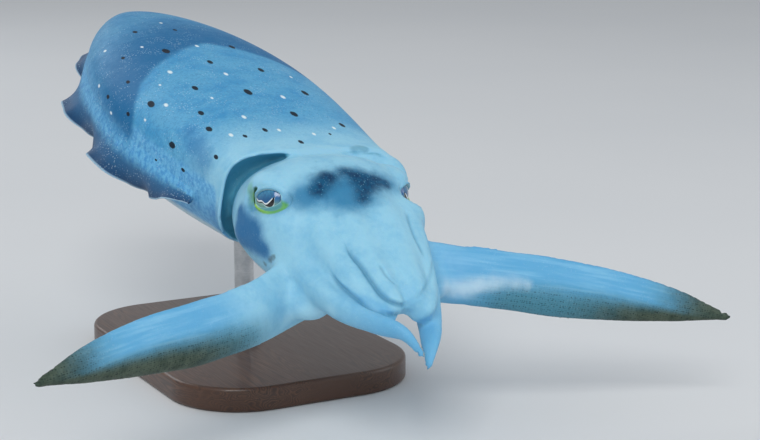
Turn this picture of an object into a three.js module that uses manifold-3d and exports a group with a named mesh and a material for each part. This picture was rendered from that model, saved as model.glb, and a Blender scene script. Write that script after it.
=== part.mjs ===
// A life-size display model of a broadclub cuttlefish, held by a rod and a flat base as it hovers over a reef.
// Its head is low, its dorsal arms are bunched and curled under, and its broad ventral arms are spread to the sides.
// Millimetres, +Z up, head towards -Y, the animal's left towards +X. The origin is the middle of the base's underside.

import * as THREE from "three";
import { ConvexGeometry } from "three/addons/geometries/ConvexGeometry.js";
import { mergeVertices } from "three/addons/utils/BufferGeometryUtils.js";
import Module from "manifold-3d";

const wasm = await Module();
wasm.setup();

// Driving dimensions of the animal in its own frame: y = 0 is the mantle's front rim, y grows to the tail, z to the back
const MANTLE_LENGTH = 241;
const MANTLE_HALF_WIDTH = 59.8;
const MANTLE_BACK_HEIGHT = 30;
const MANTLE_BELLY_DEPTH = 39.5;
const WIDEST_AT = 0.4;
const COLLAR_DEPTH = 26;
const COLLAR_WALL = 2.4;
const FIN_WIDTH = 18;
const FIN_ROOT_THICKNESS = 2.6;
const FIN_EDGE_THICKNESS = 1.2;
const FIN_WAVES = 3.6;
const HEAD_LENGTH = 78;
const EYE_RADIUS = 11;
const EYE_CENTRE = [27.6, -32.2, 13.4];
const BROW_CENTRE = [28.5, -30, 11];
const EYE_GAZE = [0.8, -0.42, 0.42];
const GAP = 0.3;

// How the animal hangs over its base: head low, and banked a little to its left
const BODY_PITCH = THREE.MathUtils.degToRad(14.8);
const BODY_BANK = THREE.MathUtils.degToRad(2.8);
const COLLAR_HEIGHT = 98;
const BALANCE_POINT = 66;

// Stand
const BASE_LENGTH = 176;
const BASE_WIDTH = 124;
const BASE_THICKNESS = 12;
const BASE_CORNER = 38;
const ROD_RADIUS = 5;
const ROD_SOCKET_DEPTH = 14;
const ROD_COLLAR_RADIUS = 11;
const ROD_COLLAR_HEIGHT = 7;

const vec = (x, y, z) => new THREE.Vector3(x, y, z);
const mix = THREE.MathUtils.lerp;
const SIDES = [
  [-1, "right"],
  [1, "left"],
];

// A smooth function of t, from 0 to 1, through equally spaced values
const through =
  (...values) =>
  (t) => {
    const last = values.length - 1;
    const at = THREE.MathUtils.clamp(t, 0, 1) * last;
    const i = Math.min(Math.floor(at), last - 1);
    const value = (k) => values[THREE.MathUtils.clamp(k, 0, last)];
    const f = at - i;
    const a = value(i - 1);
    const b = value(i);
    const c = value(i + 1);
    const d = value(i + 2);
    return b + 0.5 * f * (c - a + f * (2 * a - 5 * b + 4 * c - d + f * (3 * (b - c) + d - a)));
  };

// A closed skin over rings of equal length, with a fan at each end
function skin(rings) {
  const around = rings[0].length;
  const points = rings.flat();
  const faces = [];
  for (let r = 0; r + 1 < rings.length; r += 1)
    for (let k = 0; k < around; k += 1) {
      const a = r * around + k;
      const b = r * around + ((k + 1) % around);
      faces.push(a, b, a + around, b, b + around, a + around);
    }
  for (const end of [0, rings.length - 1]) {
    const middle = rings[end].reduce((sum, p) => sum.add(p), vec(0, 0, 0)).divideScalar(around);
    points.push(middle);
    for (let k = 0; k < around; k += 1) {
      const a = end * around + k;
      const b = end * around + ((k + 1) % around);
      if (end === 0) faces.push(b, a, points.length - 1);
      else faces.push(a, b, points.length - 1);
    }
  }
  const geometry = new THREE.BufferGeometry().setFromPoints(points);
  geometry.setIndex(faces);
  return geometry;
}

// A geometry as a manifold-3d solid, turned right side out
function solid(geometry) {
  const bare = new THREE.BufferGeometry();
  bare.setAttribute("position", geometry.getAttribute("position"));
  bare.setIndex(geometry.index);
  const merged = mergeVertices(bare, 1e-4);
  const make = (triVerts) =>
    new wasm.Manifold(new wasm.Mesh({ numProp: 3, vertProperties: merged.attributes.position.array, triVerts }));
  const triVerts = new Uint32Array(merged.index.array);
  const made = make(triVerts);
  return made.volume() > 0 ? made : make(triVerts.slice().reverse());
}

// A bent solid as a string of convex lengths, one between each ring and the next
const strung = (rings) =>
  rings
    .slice(1)
    .map((ring, i) => solid(new ConvexGeometry([...rings[i], ...ring])))
    .reduce((a, b) => a.add(b));

// The largest piece of a solid, as a cut can leave slivers
const largest = (body) => body.decompose().reduce((a, b) => (b.volume() > a.volume() ? b : a));

// A solid as a three.js mesh
function mesh(name, body, look) {
  const { vertProperties, triVerts } = largest(body).getMesh();
  const geometry = new THREE.BufferGeometry();
  geometry.setAttribute("position", new THREE.BufferAttribute(vertProperties, 3));
  geometry.setIndex(new THREE.BufferAttribute(triVerts, 1));
  geometry.computeVertexNormals();
  const made = new THREE.Mesh(geometry, new THREE.MeshStandardMaterial(look));
  made.name = name;
  return made;
}

// One ring of an oval section. square and squareBelow are 2 for an oval and more for squarer shoulders, and pinch
// thins the upper half to a keel.
function oval({ centre, across, up, width, above, below, square = 2, squareBelow = square, pinch = 0 }, around) {
  const ring = [];
  for (let k = 0; k < around; k += 1) {
    const angle = (2 * Math.PI * k) / around;
    const c = Math.cos(angle);
    const s = Math.sin(angle);
    const power = 2 / (s > 0 ? square : squareBelow);
    const x = Math.sign(c) * Math.abs(c) ** power * width * (1 - pinch * Math.max(0, s));
    const z = Math.sign(s) * Math.abs(s) ** power * (s > 0 ? above : below);
    ring.push(centre.clone().addScaledVector(across, x).addScaledVector(up, z));
  }
  return ring;
}

const onSide = ([x, y, z], side) => [side * x, y, z];
const ball = (radii, centre, turns = 12) =>
  solid(new THREE.SphereGeometry(1, turns, turns / 2).scale(...radii).translate(...centre));

// Mantle: a flattened pod, hollow at the front where the neck goes in

const MANTLE_RINGS = 14;
const MANTLE_AROUND = 28;

// A share of the full size, from share at the front to 1 at the widest place and 0 at the tail.
// A larger point tapers the rear more.
const swell = (t, share, point) =>
  t < WIDEST_AT
    ? mix(share, 1, Math.sin((Math.PI / 2) * (t / WIDEST_AT)))
    : (1 - ((t - WIDEST_AT) / (1 - WIDEST_AT)) ** 2) ** point;
const mantleHalfWidth = (t) => MANTLE_HALF_WIDTH * swell(t, 0.735, 0.8);

// How far the collar's free edge reaches forward: a blunt point over the nape, drawn back below
const collarReach = (angle) => {
  const s = Math.sin(angle);
  return s > 0 ? -8 - 3 * s ** 4 : -8 + 16 * s ** 2;
};

function mantleRing(t, inset = 0) {
  const ring = oval(
    {
      centre: vec(0, t * MANTLE_LENGTH, 0),
      across: vec(1, 0, 0),
      up: vec(0, 0, 1),
      width: mantleHalfWidth(t) - inset,
      above: MANTLE_BACK_HEIGHT * swell(t, 0.91, 0.58) - inset,
      below: MANTLE_BELLY_DEPTH * swell(t, 0.77, 0.62) - inset,
      square: 2.2 + 2.4 * Math.exp(-Math.max(0, t) / 0.15),
      squareBelow: 2.2,
    },
    MANTLE_AROUND,
  );
  const fade = Math.max(0, 1 - t / 0.28) ** 2;
  ring.forEach((p, k) => {
    p.y += fade * collarReach((2 * Math.PI * k) / MANTLE_AROUND);
  });
  return ring;
}

function mantleForm(grow = 0) {
  const rings = [];
  for (let r = 0; r <= MANTLE_RINGS; r += 1) {
    const t = Math.sin(((r / MANTLE_RINGS) * Math.PI) / 2) ** 1.25;
    rings.push(mantleRing(Math.min(t, 0.9995), -grow));
  }
  return solid(skin(rings));
}

function collarHollow() {
  const floor = COLLAR_DEPTH / MANTLE_LENGTH;
  return solid(
    skin([
      mantleRing(-0.06, COLLAR_WALL - 0.8),
      mantleRing(0, COLLAR_WALL - 0.8),
      mantleRing(floor * 0.4, COLLAR_WALL + 1),
      mantleRing(floor * 0.8, COLLAR_WALL + 6),
      mantleRing(floor, COLLAR_WALL + 14),
    ]),
  );
}

// Fins: one along each side of the mantle, folded down, waving as the animal hovers, and meeting in a notch at the tail

const FIN_STEPS = 29;
const FIN_LEVEL = -4;

function finBody(side) {
  const outline = new THREE.CatmullRomCurve3(
    [0.06, 0.14, 0.25, 0.36, 0.5, 0.64, 0.76, 0.86, 0.93, 0.975, 0.992].map((t) =>
      vec(side * mantleHalfWidth(t), t * MANTLE_LENGTH, FIN_LEVEL),
    ),
  );
  const widths = through(0.3, 0.9, 1, 1, 1, 0.95, 0.85, 0.7);
  const rings = [];
  for (let i = 0; i <= FIN_STEPS; i += 1) {
    const s = i / FIN_STEPS;
    const along = outline.getTangentAt(s);
    const outward = vec(side * along.y, -side * along.x, 0).normalize();
    const reach = FIN_WIDTH * widths(s);
    const wave = (side < 0 ? 0.42 : 0.5) * Math.sin(2 * Math.PI * FIN_WAVES * s + (side < 0 ? 0.68 : 0.9));
    const top = [];
    const under = [];
    for (const u of [-0.12, 0.5, 1]) {
      const lift = (side < 0 ? -1.28 : -1) + wave * Math.max(u, 0);
      const thick = mix(FIN_ROOT_THICKNESS, FIN_EDGE_THICKNESS, Math.max(u, 0)) / 2;
      const spine = outline
        .getPointAt(s)
        .addScaledVector(outward, reach * u * Math.cos(lift))
        .add(vec(0, 0, reach * u * Math.sin(lift)));
      const normal = outward.clone().multiplyScalar(-Math.sin(lift)).add(vec(0, 0, Math.cos(lift)));
      top.push(spine.clone().addScaledVector(normal, thick));
      under.unshift(spine.clone().addScaledVector(normal, -thick));
    }
    rings.push([...top, ...under]);
  }
  return solid(skin(rings));
}

// Head: broad, flat on top, narrowing to the arms

const HEAD_BACK = COLLAR_DEPTH - 4;
const HEAD_RINGS = 13;
const HEAD_AROUND = 24;
const headWidth = through(20, 27, 36, 41, 43, 42, 38, 31, 20);
const headAbove = through(12, 15, 20.5, 27.5, 31, 30, 26, 21, 13);
const headBelow = through(20, 24, 26, 27, 27, 27, 24, 20, 13);
const headDrop = through(0, 0, 0, 0, 0, -0.5, -3, -6, -8);

function headForm(grow = 0) {
  const rings = [];
  for (let r = 0; r <= HEAD_RINGS; r += 1) {
    const t = r / HEAD_RINGS;
    rings.push(
      oval(
        {
          centre: vec(0, HEAD_BACK - t * (HEAD_LENGTH + HEAD_BACK), headDrop(t)),
          across: vec(1, 0, 0),
          up: vec(0, 0, 1),
          width: headWidth(t) + grow,
          above: headAbove(t) + grow,
          below: headBelow(t) + grow,
          square: 2.3,
        },
        HEAD_AROUND,
      ),
    );
  }
  return solid(skin(rings));
}

// Where the left arms' roots swell out in front of the eye, and where the head's left shoulder fills the collar
const LEFT_SWELLING = [28, -50, 8.5];
const leftShoulder = (grow) => ball([14.5 + grow, 12 + grow, 16.5 + grow], [28, -8, 7.5], 10);

// The head with a brow and cheek round each eye, and the socket that the eye sits in
function headBody(grow = 0) {
  let body = headForm(grow);
  const gaze = vec(...EYE_GAZE).normalize();
  for (const [side] of SIDES) {
    const [x, y, z] = BROW_CENTRE;
    body = body.add(ball([12.7 + grow, 15.6 + grow, 12.3 + grow], onSide([x + 0.6, y + 0.6, z + 2.8], side)));
    body = body.add(ball([11.5 + grow, 14 + grow, 10.5 + grow], onSide([x + 4, y + 3, z - 15], side)));
  }
  body = body.add(ball([11.5 + grow, 12 + grow, 11.5 + grow], LEFT_SWELLING));
  body = body.add(leftShoulder(grow));
  if (grow > 0) return body;
  for (const [side] of SIDES) {
    const opening = vec(...EYE_CENTRE).addScaledVector(gaze, EYE_RADIUS * 0.9);
    body = body.subtract(ball([EYE_RADIUS + GAP, EYE_RADIUS + GAP, EYE_RADIUS + GAP], onSide(EYE_CENTRE, side)));
    body = body.subtract(ball([7, 8, 5.5], onSide(opening.toArray(), side), 16));
  }
  return body;
}

// Arms

const AROUND_ARM = 10;

// A length of a tapering arm, from one of its stations to another. keel is the direction of its upper edge.
function armForm(arm, from, to, grow = 0) {
  const curve = new THREE.CatmullRomCurve3(arm.route);
  const rings = [];
  for (let i = from; i <= to; i += 1) {
    const parting = i === from && from > 0 ? GAP / curve.getLength() : 0;
    const t = i / arm.stations + parting;
    const along = curve.getTangentAt(t);
    const centre = curve.getPointAt(t);
    if (i === to) centre.addScaledVector(along, 2 * grow);
    const across = along.clone().cross(arm.keel).normalize();
    const up = across.clone().cross(along).normalize();
    rings.push(
      oval(
        {
          centre,
          across,
          up,
          width: arm.width(t) + grow,
          above: arm.above(t) + grow,
          below: arm.below(t) + grow,
          pinch: arm.pinch,
        },
        AROUND_ARM,
      ),
    );
  }
  return grow > 0 ? strung(rings) : solid(skin(rings));
}

const routeOnSide = (points, side) => points.map(([x, y, z]) => vec(side * x, y, z));

// The first arms lie over the second, and both pairs curl under in front
const firstArm = (side) => ({
  stations: 14,
  cuts: [0, 6, 14],
  route: routeOnSide(
    side < 0
      ? [
          [6.5, -46, 17],
          [6.5, -66, 11.5],
          [6, -84, 5],
          [5.2, -98, 0.5],
          [4.4, -106.5, -4],
          [4.6, -106, -8],
          [5.2, -100, -9.5],
        ]
      : [
          [10.5, -46, 17],
          [10.8, -66, 11.5],
          [10, -84, 5],
          [8.6, -98, 0.5],
          [7, -105, -4],
          [6.4, -104, -7.5],
          [6.2, -98, -9],
        ],
    side,
  ),
  keel: vec(0, -0.6, 1),
  width: side < 0 ? through(7, 7, 6.7, 6.3, 5.6, 4.4, 1.8) : through(10.5, 10.6, 9.8, 8.6, 7, 5, 1.8),
  above: through(9, 8.5, 7.5, 6.8, 5.8, 4.4, 1.8),
  below: through(9, 8.5, 7.5, 6, 5, 3.8, 1.8),
  pinch: 0,
});
const secondArm = (side) => ({
  stations: 14,
  cuts: [0, 6, 14],
  route: routeOnSide(
    side < 0
      ? [
          [19.5, -44, 11],
          [19.5, -64, 7],
          [17, -83, 1.5],
          [13.5, -99, -4],
          [9.5, -110.5, -8],
          [7.5, -110, -12],
          [8.5, -103, -13],
        ]
      : [
          [24, -44, 12],
          [24.5, -64, 8],
          [21.5, -82, 1],
          [17.5, -97, -5],
          [11.5, -107.5, -7],
          [8.5, -107, -10.5],
          [9.5, -100.5, -11.5],
        ],
    side,
  ),
  keel: vec(side * 0.4, -0.6, 1),
  width: through(9, 8, 7.2, 6.2, 5.4, 4.2, 1.8),
  above: through(9, 8.5, 7.5, 6.8, 5.8, 4.4, 1.8),
  below: through(9, 8.5, 7.5, 6, 5, 3.8, 1.8),
  pinch: 0,
});

// The third arms droop forward until their tips meet in front
const thirdArm = (side) => ({
  stations: 12,
  cuts: [0, 6, 12],
  route: routeOnSide(
    side < 0
      ? [
          [25, -48, -6],
          [26, -76, -9],
          [23, -96, -9.5],
          [16, -113, -8],
          [9, -126, -7],
          [3, -135, -14],
        ]
      : [
          [25, -48, -6],
          [26, -74, -9],
          [21, -94, -14],
          [14, -112, -17],
          [8, -123, -18],
          [2.5, -132, -22],
        ],
    side,
  ),
  keel: vec(side * 0.9, 0.2, 1),
  width: through(8, 7, 6, 5, 3.5, 0.8),
  above: through(11, 11, 9, 7, 5, 0.8),
  below: through(11, 11, 8.5, 6, 5, 0.8),
  pinch: 0.2,
});

// The broad fourth arms are spread to the sides, the right one lower than the left
const fourthArm = (side) => ({
  stations: 18,
  cuts: [0, 6, 12, 18],
  route: routeOnSide(
    side < 0
      ? [
          [20, -52, -17],
          [55, -74, -19],
          [84, -84, -20],
          [112, -93, -19.5],
          [167, -115, -20],
        ]
      : [
          [20, -52, -13],
          [52, -76, -8],
          [80, -88, -8],
          [110, -99, -10],
          [174, -125.5, -16.2],
        ],
    side,
  ),
  keel: vec(0, 0.4, 1),
  width: through(9, 7.5, 6.5, 5.5, 4.5, 3, 0.8),
  above: through(15, 13.5, 12.5, 11.5, 10.5, 7.5, 0.8),
  below: side < 0 ? through(19, 17, 15.5, 15, 12, 7, 0.8) : through(17, 15.5, 15, 15, 12, 7, 0.8),
  pinch: 0.6,
});

const LENGTH_NAMES = { 2: ["base", "tip"], 3: ["base", "middle", "tip"] };

// Funnel: the jet's nozzle under the head, with its mouth open

function funnelBody() {
  const curve = new THREE.CatmullRomCurve3([vec(0, 8, -26), vec(0, -14, -32), vec(0, -34, -34)]);
  const along = (t) => curve.getTangentAt(t);
  const ring = (centre, tangent, width, height) =>
    oval(
      { centre, across: vec(1, 0, 0), up: vec(1, 0, 0).cross(tangent).normalize(), width, above: height, below: height },
      12,
    );
  const outer = [];
  for (let i = 0; i <= 5; i += 1) {
    const t = i / 5;
    outer.push(ring(curve.getPointAt(t), along(t), mix(15, 6.5, t), mix(6, 5, t)));
  }
  const bore = [];
  for (let i = 0; i <= 3; i += 1) {
    const centre = curve.getPointAt(1).addScaledVector(along(1), mix(-12, 1, i / 3));
    bore.push(ring(centre, along(1), mix(2, 4.8, i / 3), mix(1.5, 3.4, i / 3)));
  }
  return solid(skin(outer)).subtract(solid(skin(bore)));
}

// Stand: a flat base with a collar and one rod, in the world's frame

function baseBody() {
  const half = [BASE_WIDTH / 2, BASE_LENGTH / 2];
  const outline = new THREE.Shape();
  outline.moveTo(half[0], -half[1] + BASE_CORNER);
  outline.lineTo(half[0], half[1] - BASE_CORNER);
  outline.absarc(half[0] - BASE_CORNER, half[1] - BASE_CORNER, BASE_CORNER, 0, Math.PI / 2);
  outline.absarc(BASE_CORNER - half[0], half[1] - BASE_CORNER, BASE_CORNER, Math.PI / 2, Math.PI);
  outline.absarc(BASE_CORNER - half[0], BASE_CORNER - half[1], BASE_CORNER, Math.PI, 1.5 * Math.PI);
  outline.absarc(half[0] - BASE_CORNER, BASE_CORNER - half[1], BASE_CORNER, 1.5 * Math.PI, 2 * Math.PI);
  const bevel = 2;
  const plate = new THREE.ExtrudeGeometry(outline, {
    depth: BASE_THICKNESS - bevel,
    bevelThickness: bevel,
    bevelSize: bevel,
    bevelOffset: -bevel,
    bevelSegments: 1,
    curveSegments: 6,
  });
  const lowerBevel = new THREE.BoxGeometry(2 * BASE_WIDTH, 2 * BASE_LENGTH, 2 * bevel);
  const hole = new THREE.CylinderGeometry(ROD_RADIUS + GAP, ROD_RADIUS + GAP, BASE_THICKNESS, 24);
  hole.rotateX(Math.PI / 2).translate(0, 0, BASE_THICKNESS / 2 + 4);
  return solid(mergeVertices(stripped(plate)))
    .subtract(solid(lowerBevel.translate(0, 0, -bevel)))
    .subtract(solid(hole));
}

function stripped(geometry) {
  geometry.deleteAttribute("normal");
  geometry.deleteAttribute("uv");
  return geometry;
}

const ROD_FOOT = 4 + GAP;

function rodGeometry(radius, from, to) {
  return new THREE.CylinderGeometry(radius, radius, to - from, 24).rotateX(Math.PI / 2).translate(0, 0, (from + to) / 2);
}

function rodCollarBody() {
  const low = BASE_THICKNESS + GAP;
  const inner = ROD_RADIUS + GAP;
  const profile = [
    [inner, low],
    [ROD_COLLAR_RADIUS, low],
    [ROD_COLLAR_RADIUS, low + 2],
    [inner + 2, low + ROD_COLLAR_HEIGHT],
    [inner, low + ROD_COLLAR_HEIGHT],
    [inner, low],
  ].map(([r, z]) => new THREE.Vector2(r, z));
  return solid(new THREE.LatheGeometry(profile, 24).rotateX(Math.PI / 2));
}

// Assembly

const SKIN = { color: 0x7db5dd, roughness: 0.45, metalness: 0 };
const EYE = { color: 0x16222e, roughness: 0.08, metalness: 0 };
const WOOD = { color: 0x4a3122, roughness: 0.5, metalness: 0 };
const STEEL = { color: 0xb4b7ba, roughness: 0.3, metalness: 1 };

const animal = new THREE.Group();
animal.rotation.set(BODY_PITCH, BODY_BANK, 0);
animal.position.set(0, -BALANCE_POINT, COLLAR_HEIGHT);
animal.updateMatrixWorld();

// Where the rod's socket is in the belly, found in the animal's own frame
const intoAnimal = animal.matrixWorld.clone().invert();
const bellyHeight = COLLAR_HEIGHT + Math.tan(BODY_PITCH) * BALANCE_POINT - MANTLE_BELLY_DEPTH;
const rodTop = bellyHeight + ROD_SOCKET_DEPTH;
const rodSocket = solid(rodGeometry(ROD_RADIUS + GAP, bellyHeight - 30, rodTop + GAP).applyMatrix4(intoAnimal));

const neckRoom = collarHollow().add(headForm(GAP)).add(leftShoulder(GAP));
const mantle = mantleForm().subtract(neckRoom).subtract(rodSocket);
const head = headBody();
let taken = mantleForm(0.1 + GAP);
for (const [side, word] of SIDES) {
  animal.add(mesh(`fin_${word}`, finBody(side).subtract(taken), SKIN));
  animal.add(mesh(`eye_${word}`, ball([EYE_RADIUS, EYE_RADIUS, EYE_RADIUS], onSide(EYE_CENTRE, side)), EYE));
}
animal.add(mesh("mantle", mantle, SKIN));
animal.add(mesh("head", head, SKIN));
taken = headBody(1.7 * GAP);
for (const [number, make] of [firstArm, secondArm, thirdArm, fourthArm].entries())
  for (const [side, word] of SIDES) {
    const arm = make(side);
    const names = LENGTH_NAMES[arm.cuts.length - 1];
    names.forEach((name, i) => {
      const piece = armForm(arm, arm.cuts[i], arm.cuts[i + 1]).subtract(taken);
      animal.add(mesh(`arm_${number + 1}_${word}_${name}`, piece, SKIN));
    });
    taken = taken.add(armForm(arm, 0, arm.stations, 1.7 * GAP));
  }
animal.add(mesh("funnel", funnelBody().subtract(taken).subtract(mantleForm(GAP)), SKIN));

const model = new THREE.Group();
model.add(animal);
model.add(mesh("stand_base", baseBody(), WOOD));
model.add(mesh("stand_collar", rodCollarBody(), STEEL));
model.add(mesh("stand_rod", solid(rodGeometry(ROD_RADIUS, ROD_FOOT, rodTop)), STEEL));

export default model;
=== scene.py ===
"""A life-size display model of a broadclub cuttlefish, held over a flat base by one rod.

It hovers with its head low, its upper arms bunched and curled under and its broad lowest arms spread to
the sides. Its shapes are worked out in millimetres in its own frame: y is 0 at the mantle's front rim and
grows to the tail, x grows to its left and z to its back. Each finished mesh is then turned and moved into
the row's frame, in metres, so that its object stays at the origin.
"""

from __future__ import annotations

import logging
import math
from collections.abc import Callable, Iterable, Sequence
from dataclasses import dataclass, field
from enum import Enum
from typing import NamedTuple

import bmesh
import bpy
import numpy as np
from bmesh.types import BMesh, BMVert
from bpy.types import Material, Mesh, Node, NodeSocket, NodeTree, Object
from mathutils import Matrix, Vector
from mathutils.bvhtree import BVHTree

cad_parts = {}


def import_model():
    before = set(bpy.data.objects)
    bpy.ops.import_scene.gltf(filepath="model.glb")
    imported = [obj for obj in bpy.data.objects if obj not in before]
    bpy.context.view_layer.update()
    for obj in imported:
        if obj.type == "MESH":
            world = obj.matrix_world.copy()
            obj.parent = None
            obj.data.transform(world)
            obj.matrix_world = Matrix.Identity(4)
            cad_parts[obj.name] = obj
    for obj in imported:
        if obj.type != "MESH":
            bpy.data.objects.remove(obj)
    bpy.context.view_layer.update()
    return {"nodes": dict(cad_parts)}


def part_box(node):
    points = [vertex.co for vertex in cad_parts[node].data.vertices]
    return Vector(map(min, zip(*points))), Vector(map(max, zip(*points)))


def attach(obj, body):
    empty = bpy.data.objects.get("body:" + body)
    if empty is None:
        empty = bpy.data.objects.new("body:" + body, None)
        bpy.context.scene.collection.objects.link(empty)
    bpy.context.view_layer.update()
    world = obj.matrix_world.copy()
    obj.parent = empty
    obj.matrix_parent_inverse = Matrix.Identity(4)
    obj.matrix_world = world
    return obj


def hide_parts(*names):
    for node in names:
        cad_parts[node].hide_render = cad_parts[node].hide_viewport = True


log = logging.getLogger("cuttlefish")

Array = np.ndarray
Triple = tuple[float, float, float]
FAR_AWAY = 99.0
SIDEWAYS = np.array([1.0, 0, 0])
UPRIGHT = np.array([0, 0, 1.0])


class Side(Enum):
    """A side of the animal, by the sign of x there."""

    RIGHT = -1
    LEFT = 1


class Slot(Enum):
    """The record's material slots."""

    SKIN = "skin"
    EYEBALL = "eyeball"
    WOOD = "base_wood"
    STEEL = "rod_steel"


# Small mathematics


def unit(vector: Sequence[float]) -> Array:
    """Return a vector scaled to length 1."""
    made = np.asarray(vector, float)
    return made / np.linalg.norm(made)


def lengths(rows: Array) -> Array:
    """Return the length of each row."""
    return np.linalg.norm(rows, axis=-1)


def units(rows: Array) -> Array:
    """Return each row scaled to length 1."""
    return rows / np.linalg.norm(rows, axis=-1, keepdims=True)


def closest(places: Array, others: Array) -> tuple[Array, Array]:
    """Return which of the others lies closest to each place, and how far away it is."""
    gaps = lengths(places[:, None] - others[None])
    best = gaps.argmin(axis=1)
    return best, gaps[np.arange(len(places)), best]


def ease(value: Array, low: float, high: float) -> Array:
    """Rise smoothly from 0 to 1.

    Args:
        value: Any array.
        low: Where the result is 0.
        high: Where the result is 1. It may lie below low.

    Returns:
        An array of the same shape.
    """
    share = np.clip((value - low) / (high - low), 0.0, 1.0)
    return share * share * (3.0 - 2.0 * share)


def hump(value: Array, middle: float, width: float) -> Array:
    """Return a bell of height 1 about middle."""
    return np.exp(-(((value - middle) / width) ** 2))


class Profile:
    """A smooth function of t, from 0 to 1, through equally spaced values."""

    def __init__(self, *values: float) -> None:
        """Keep the values."""
        self.values = np.asarray(values, float)

    def __call__(self, t: Array | float) -> Array:
        """Return the value at t."""
        last = len(self.values) - 1
        at = np.clip(np.asarray(t, float), 0.0, 1.0) * last
        index = np.minimum(np.floor(at).astype(int), last - 1)
        f = at - index
        a, b, c, d = (self.values[np.clip(index + k, 0, last)] for k in (-1, 0, 1, 2))
        return b + 0.5 * f * (c - a + f * (2 * a - 5 * b + 4 * c - d + f * (3 * (b - c) + d - a)))


class Route:
    """A smooth curve through points, measured by its length."""

    def __init__(self, points: Sequence[Sequence[float]], grain: int = 48) -> None:
        """Lay the curve.

        Args:
            points: The places it goes through.
            grain: How many short steps lie between two of them.
        """
        given = np.asarray(points, float)
        p = np.vstack([2 * given[0] - given[1], given, 2 * given[-1] - given[-2]])
        f = (np.arange(grain) / grain)[:, None]
        steps = []
        for i in range(1, len(p) - 2):
            a, b, c, d = p[i - 1 : i + 3]
            before, here, after = (math.sqrt(np.linalg.norm(q - r)) for q, r in ((b, a), (c, b), (d, c)))
            leave = ((b - a) / before - (c - a) / (before + here) + (c - b) / here) * here
            reach = ((c - b) / here - (d - b) / (here + after) + (d - c) / after) * here
            square, cube = 3 * (c - b) - 2 * leave - reach, 2 * (b - c) + leave + reach
            steps.append(b + f * leave + f**2 * square + f**3 * cube)
        steps.append(given[-1:])
        self.places = np.vstack(steps)
        self.lengths = np.concatenate([[0.0], np.cumsum(lengths(np.diff(self.places, axis=0)))])
        self.length = float(self.lengths[-1])

    def at(self, t: Array | float) -> Array:
        """Return the places at shares t of the length, one row each."""
        where = np.atleast_1d(t) * self.length
        return np.stack([np.interp(where, self.lengths, self.places[:, k]) for k in range(3)], axis=1)

    def heading(self, t: Array | float) -> Array:
        """Return the unit directions at shares t of the length."""
        t = np.atleast_1d(t)
        return units(self.at(np.clip(t + 0.01, 0, 1)) - self.at(np.clip(t - 0.01, 0, 1)))

    def nearest(self, places: Array, samples: int = 160) -> tuple[Array, Array]:
        """Find where the curve passes closest to each place.

        Args:
            places: One place a row.
            samples: How many places of the curve are tried.

        Returns:
            The share of the length and the distance, for each place.
        """
        t = np.linspace(0, 1, samples)
        best, gap = closest(places, self.at(t))
        return t[best], gap


def oval(
    centre: Array, across: Array, up: Array, width: float, above: float, below: float,
    around: int, square: float | tuple[float, float] = 2.0, pinch: float = 0.0,
) -> Array:
    """Make one ring of a tube.

    Args:
        centre: Its middle.
        across: The unit direction of its width.
        up: The unit direction of its height.
        width: Half its width.
        above: How far it reaches along up.
        below: How far it reaches the other way.
        around: How many points it has.
        square: 2 for an oval, more for squarer shoulders, or one such number for each half, upper first.
        pinch: How much its upper half thins to a keel, from 0 to 1.

    Returns:
        The ring, one point a row.
    """
    angle = np.linspace(0, 2 * np.pi, around, endpoint=False)
    c, s = np.cos(angle), np.sin(angle)
    upper, lower = square if isinstance(square, tuple) else (square, square)
    power = 2 / np.where(s > 0, upper, lower)
    x = np.sign(c) * np.abs(c) ** power * width * (1 - pinch * np.maximum(s, 0))
    z = np.sign(s) * np.abs(s) ** power * np.where(s > 0, above, below)
    return centre + np.outer(x, across) + np.outer(z, up)


# Mesh craft


def sheathe(bm: BMesh, rings: Array) -> list[BMVert]:
    """Wrap a closed tube over rings, and cap its two ends.

    Args:
        bm: The bmesh that it is added to.
        rings: Rings of equal length, as an array of rings, points and coordinates.

    Returns:
        The tube's vertices.
    """
    rows, around, _ = rings.shape
    grid = bmesh.ops.create_grid(bm, x_segments=around, y_segments=rows - 1, size=1.0)["verts"]
    places = np.concatenate([rings, rings[:, :1]], axis=1).reshape(-1, 3)
    for vertex, place in zip(grid, places.tolist()):
        vertex.co = place
    bmesh.ops.remove_doubles(bm, verts=grid, dist=1e-6)
    kept = [vertex for vertex in grid if vertex.is_valid]
    rims = {edge for vertex in kept for edge in vertex.link_edges if edge.is_boundary}
    bmesh.ops.holes_fill(bm, edges=list(rims), sides=0)
    return kept


def egg(bm: BMesh, radii: Sequence[float], centre: Sequence[float]) -> None:
    """Add a smooth egg with these half sizes at a place."""
    shape = Matrix.Translation(Vector(centre)) @ Matrix.Diagonal(Vector((*radii, 1.0)))
    bmesh.ops.create_uvsphere(bm, u_segments=32, v_segments=20, radius=1.0, matrix=shape)


def rounded(bm: BMesh, geom: list, offset: float, segments: int, affect: str) -> None:
    """Round corners or edges over a distance."""
    settings = {"offset_type": "OFFSET", "profile": 0.5, "material": -1}
    bmesh.ops.bevel(bm, geom=geom, offset=offset, segments=segments, affect=affect, **settings)


def settled(bm: BMesh, name: str) -> Object:
    """Turn a bmesh into an object with its faces outwards, and free the bmesh."""
    bmesh.ops.recalc_face_normals(bm, faces=bm.faces)
    mesh = bpy.data.meshes.new(name)
    bm.to_mesh(mesh)
    bm.free()
    made = bpy.data.objects.new(name, mesh)
    bpy.context.scene.collection.objects.link(made)
    return made


def baked(subject: Object) -> None:
    """Apply all of an object's modifiers to its mesh."""
    graph = bpy.context.evaluated_depsgraph_get()
    fresh = bpy.data.meshes.new_from_object(subject.evaluated_get(graph))
    stale = subject.data
    fresh.name = stale.name
    subject.modifiers.clear()
    subject.data = fresh
    bpy.data.meshes.remove(stale)


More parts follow.
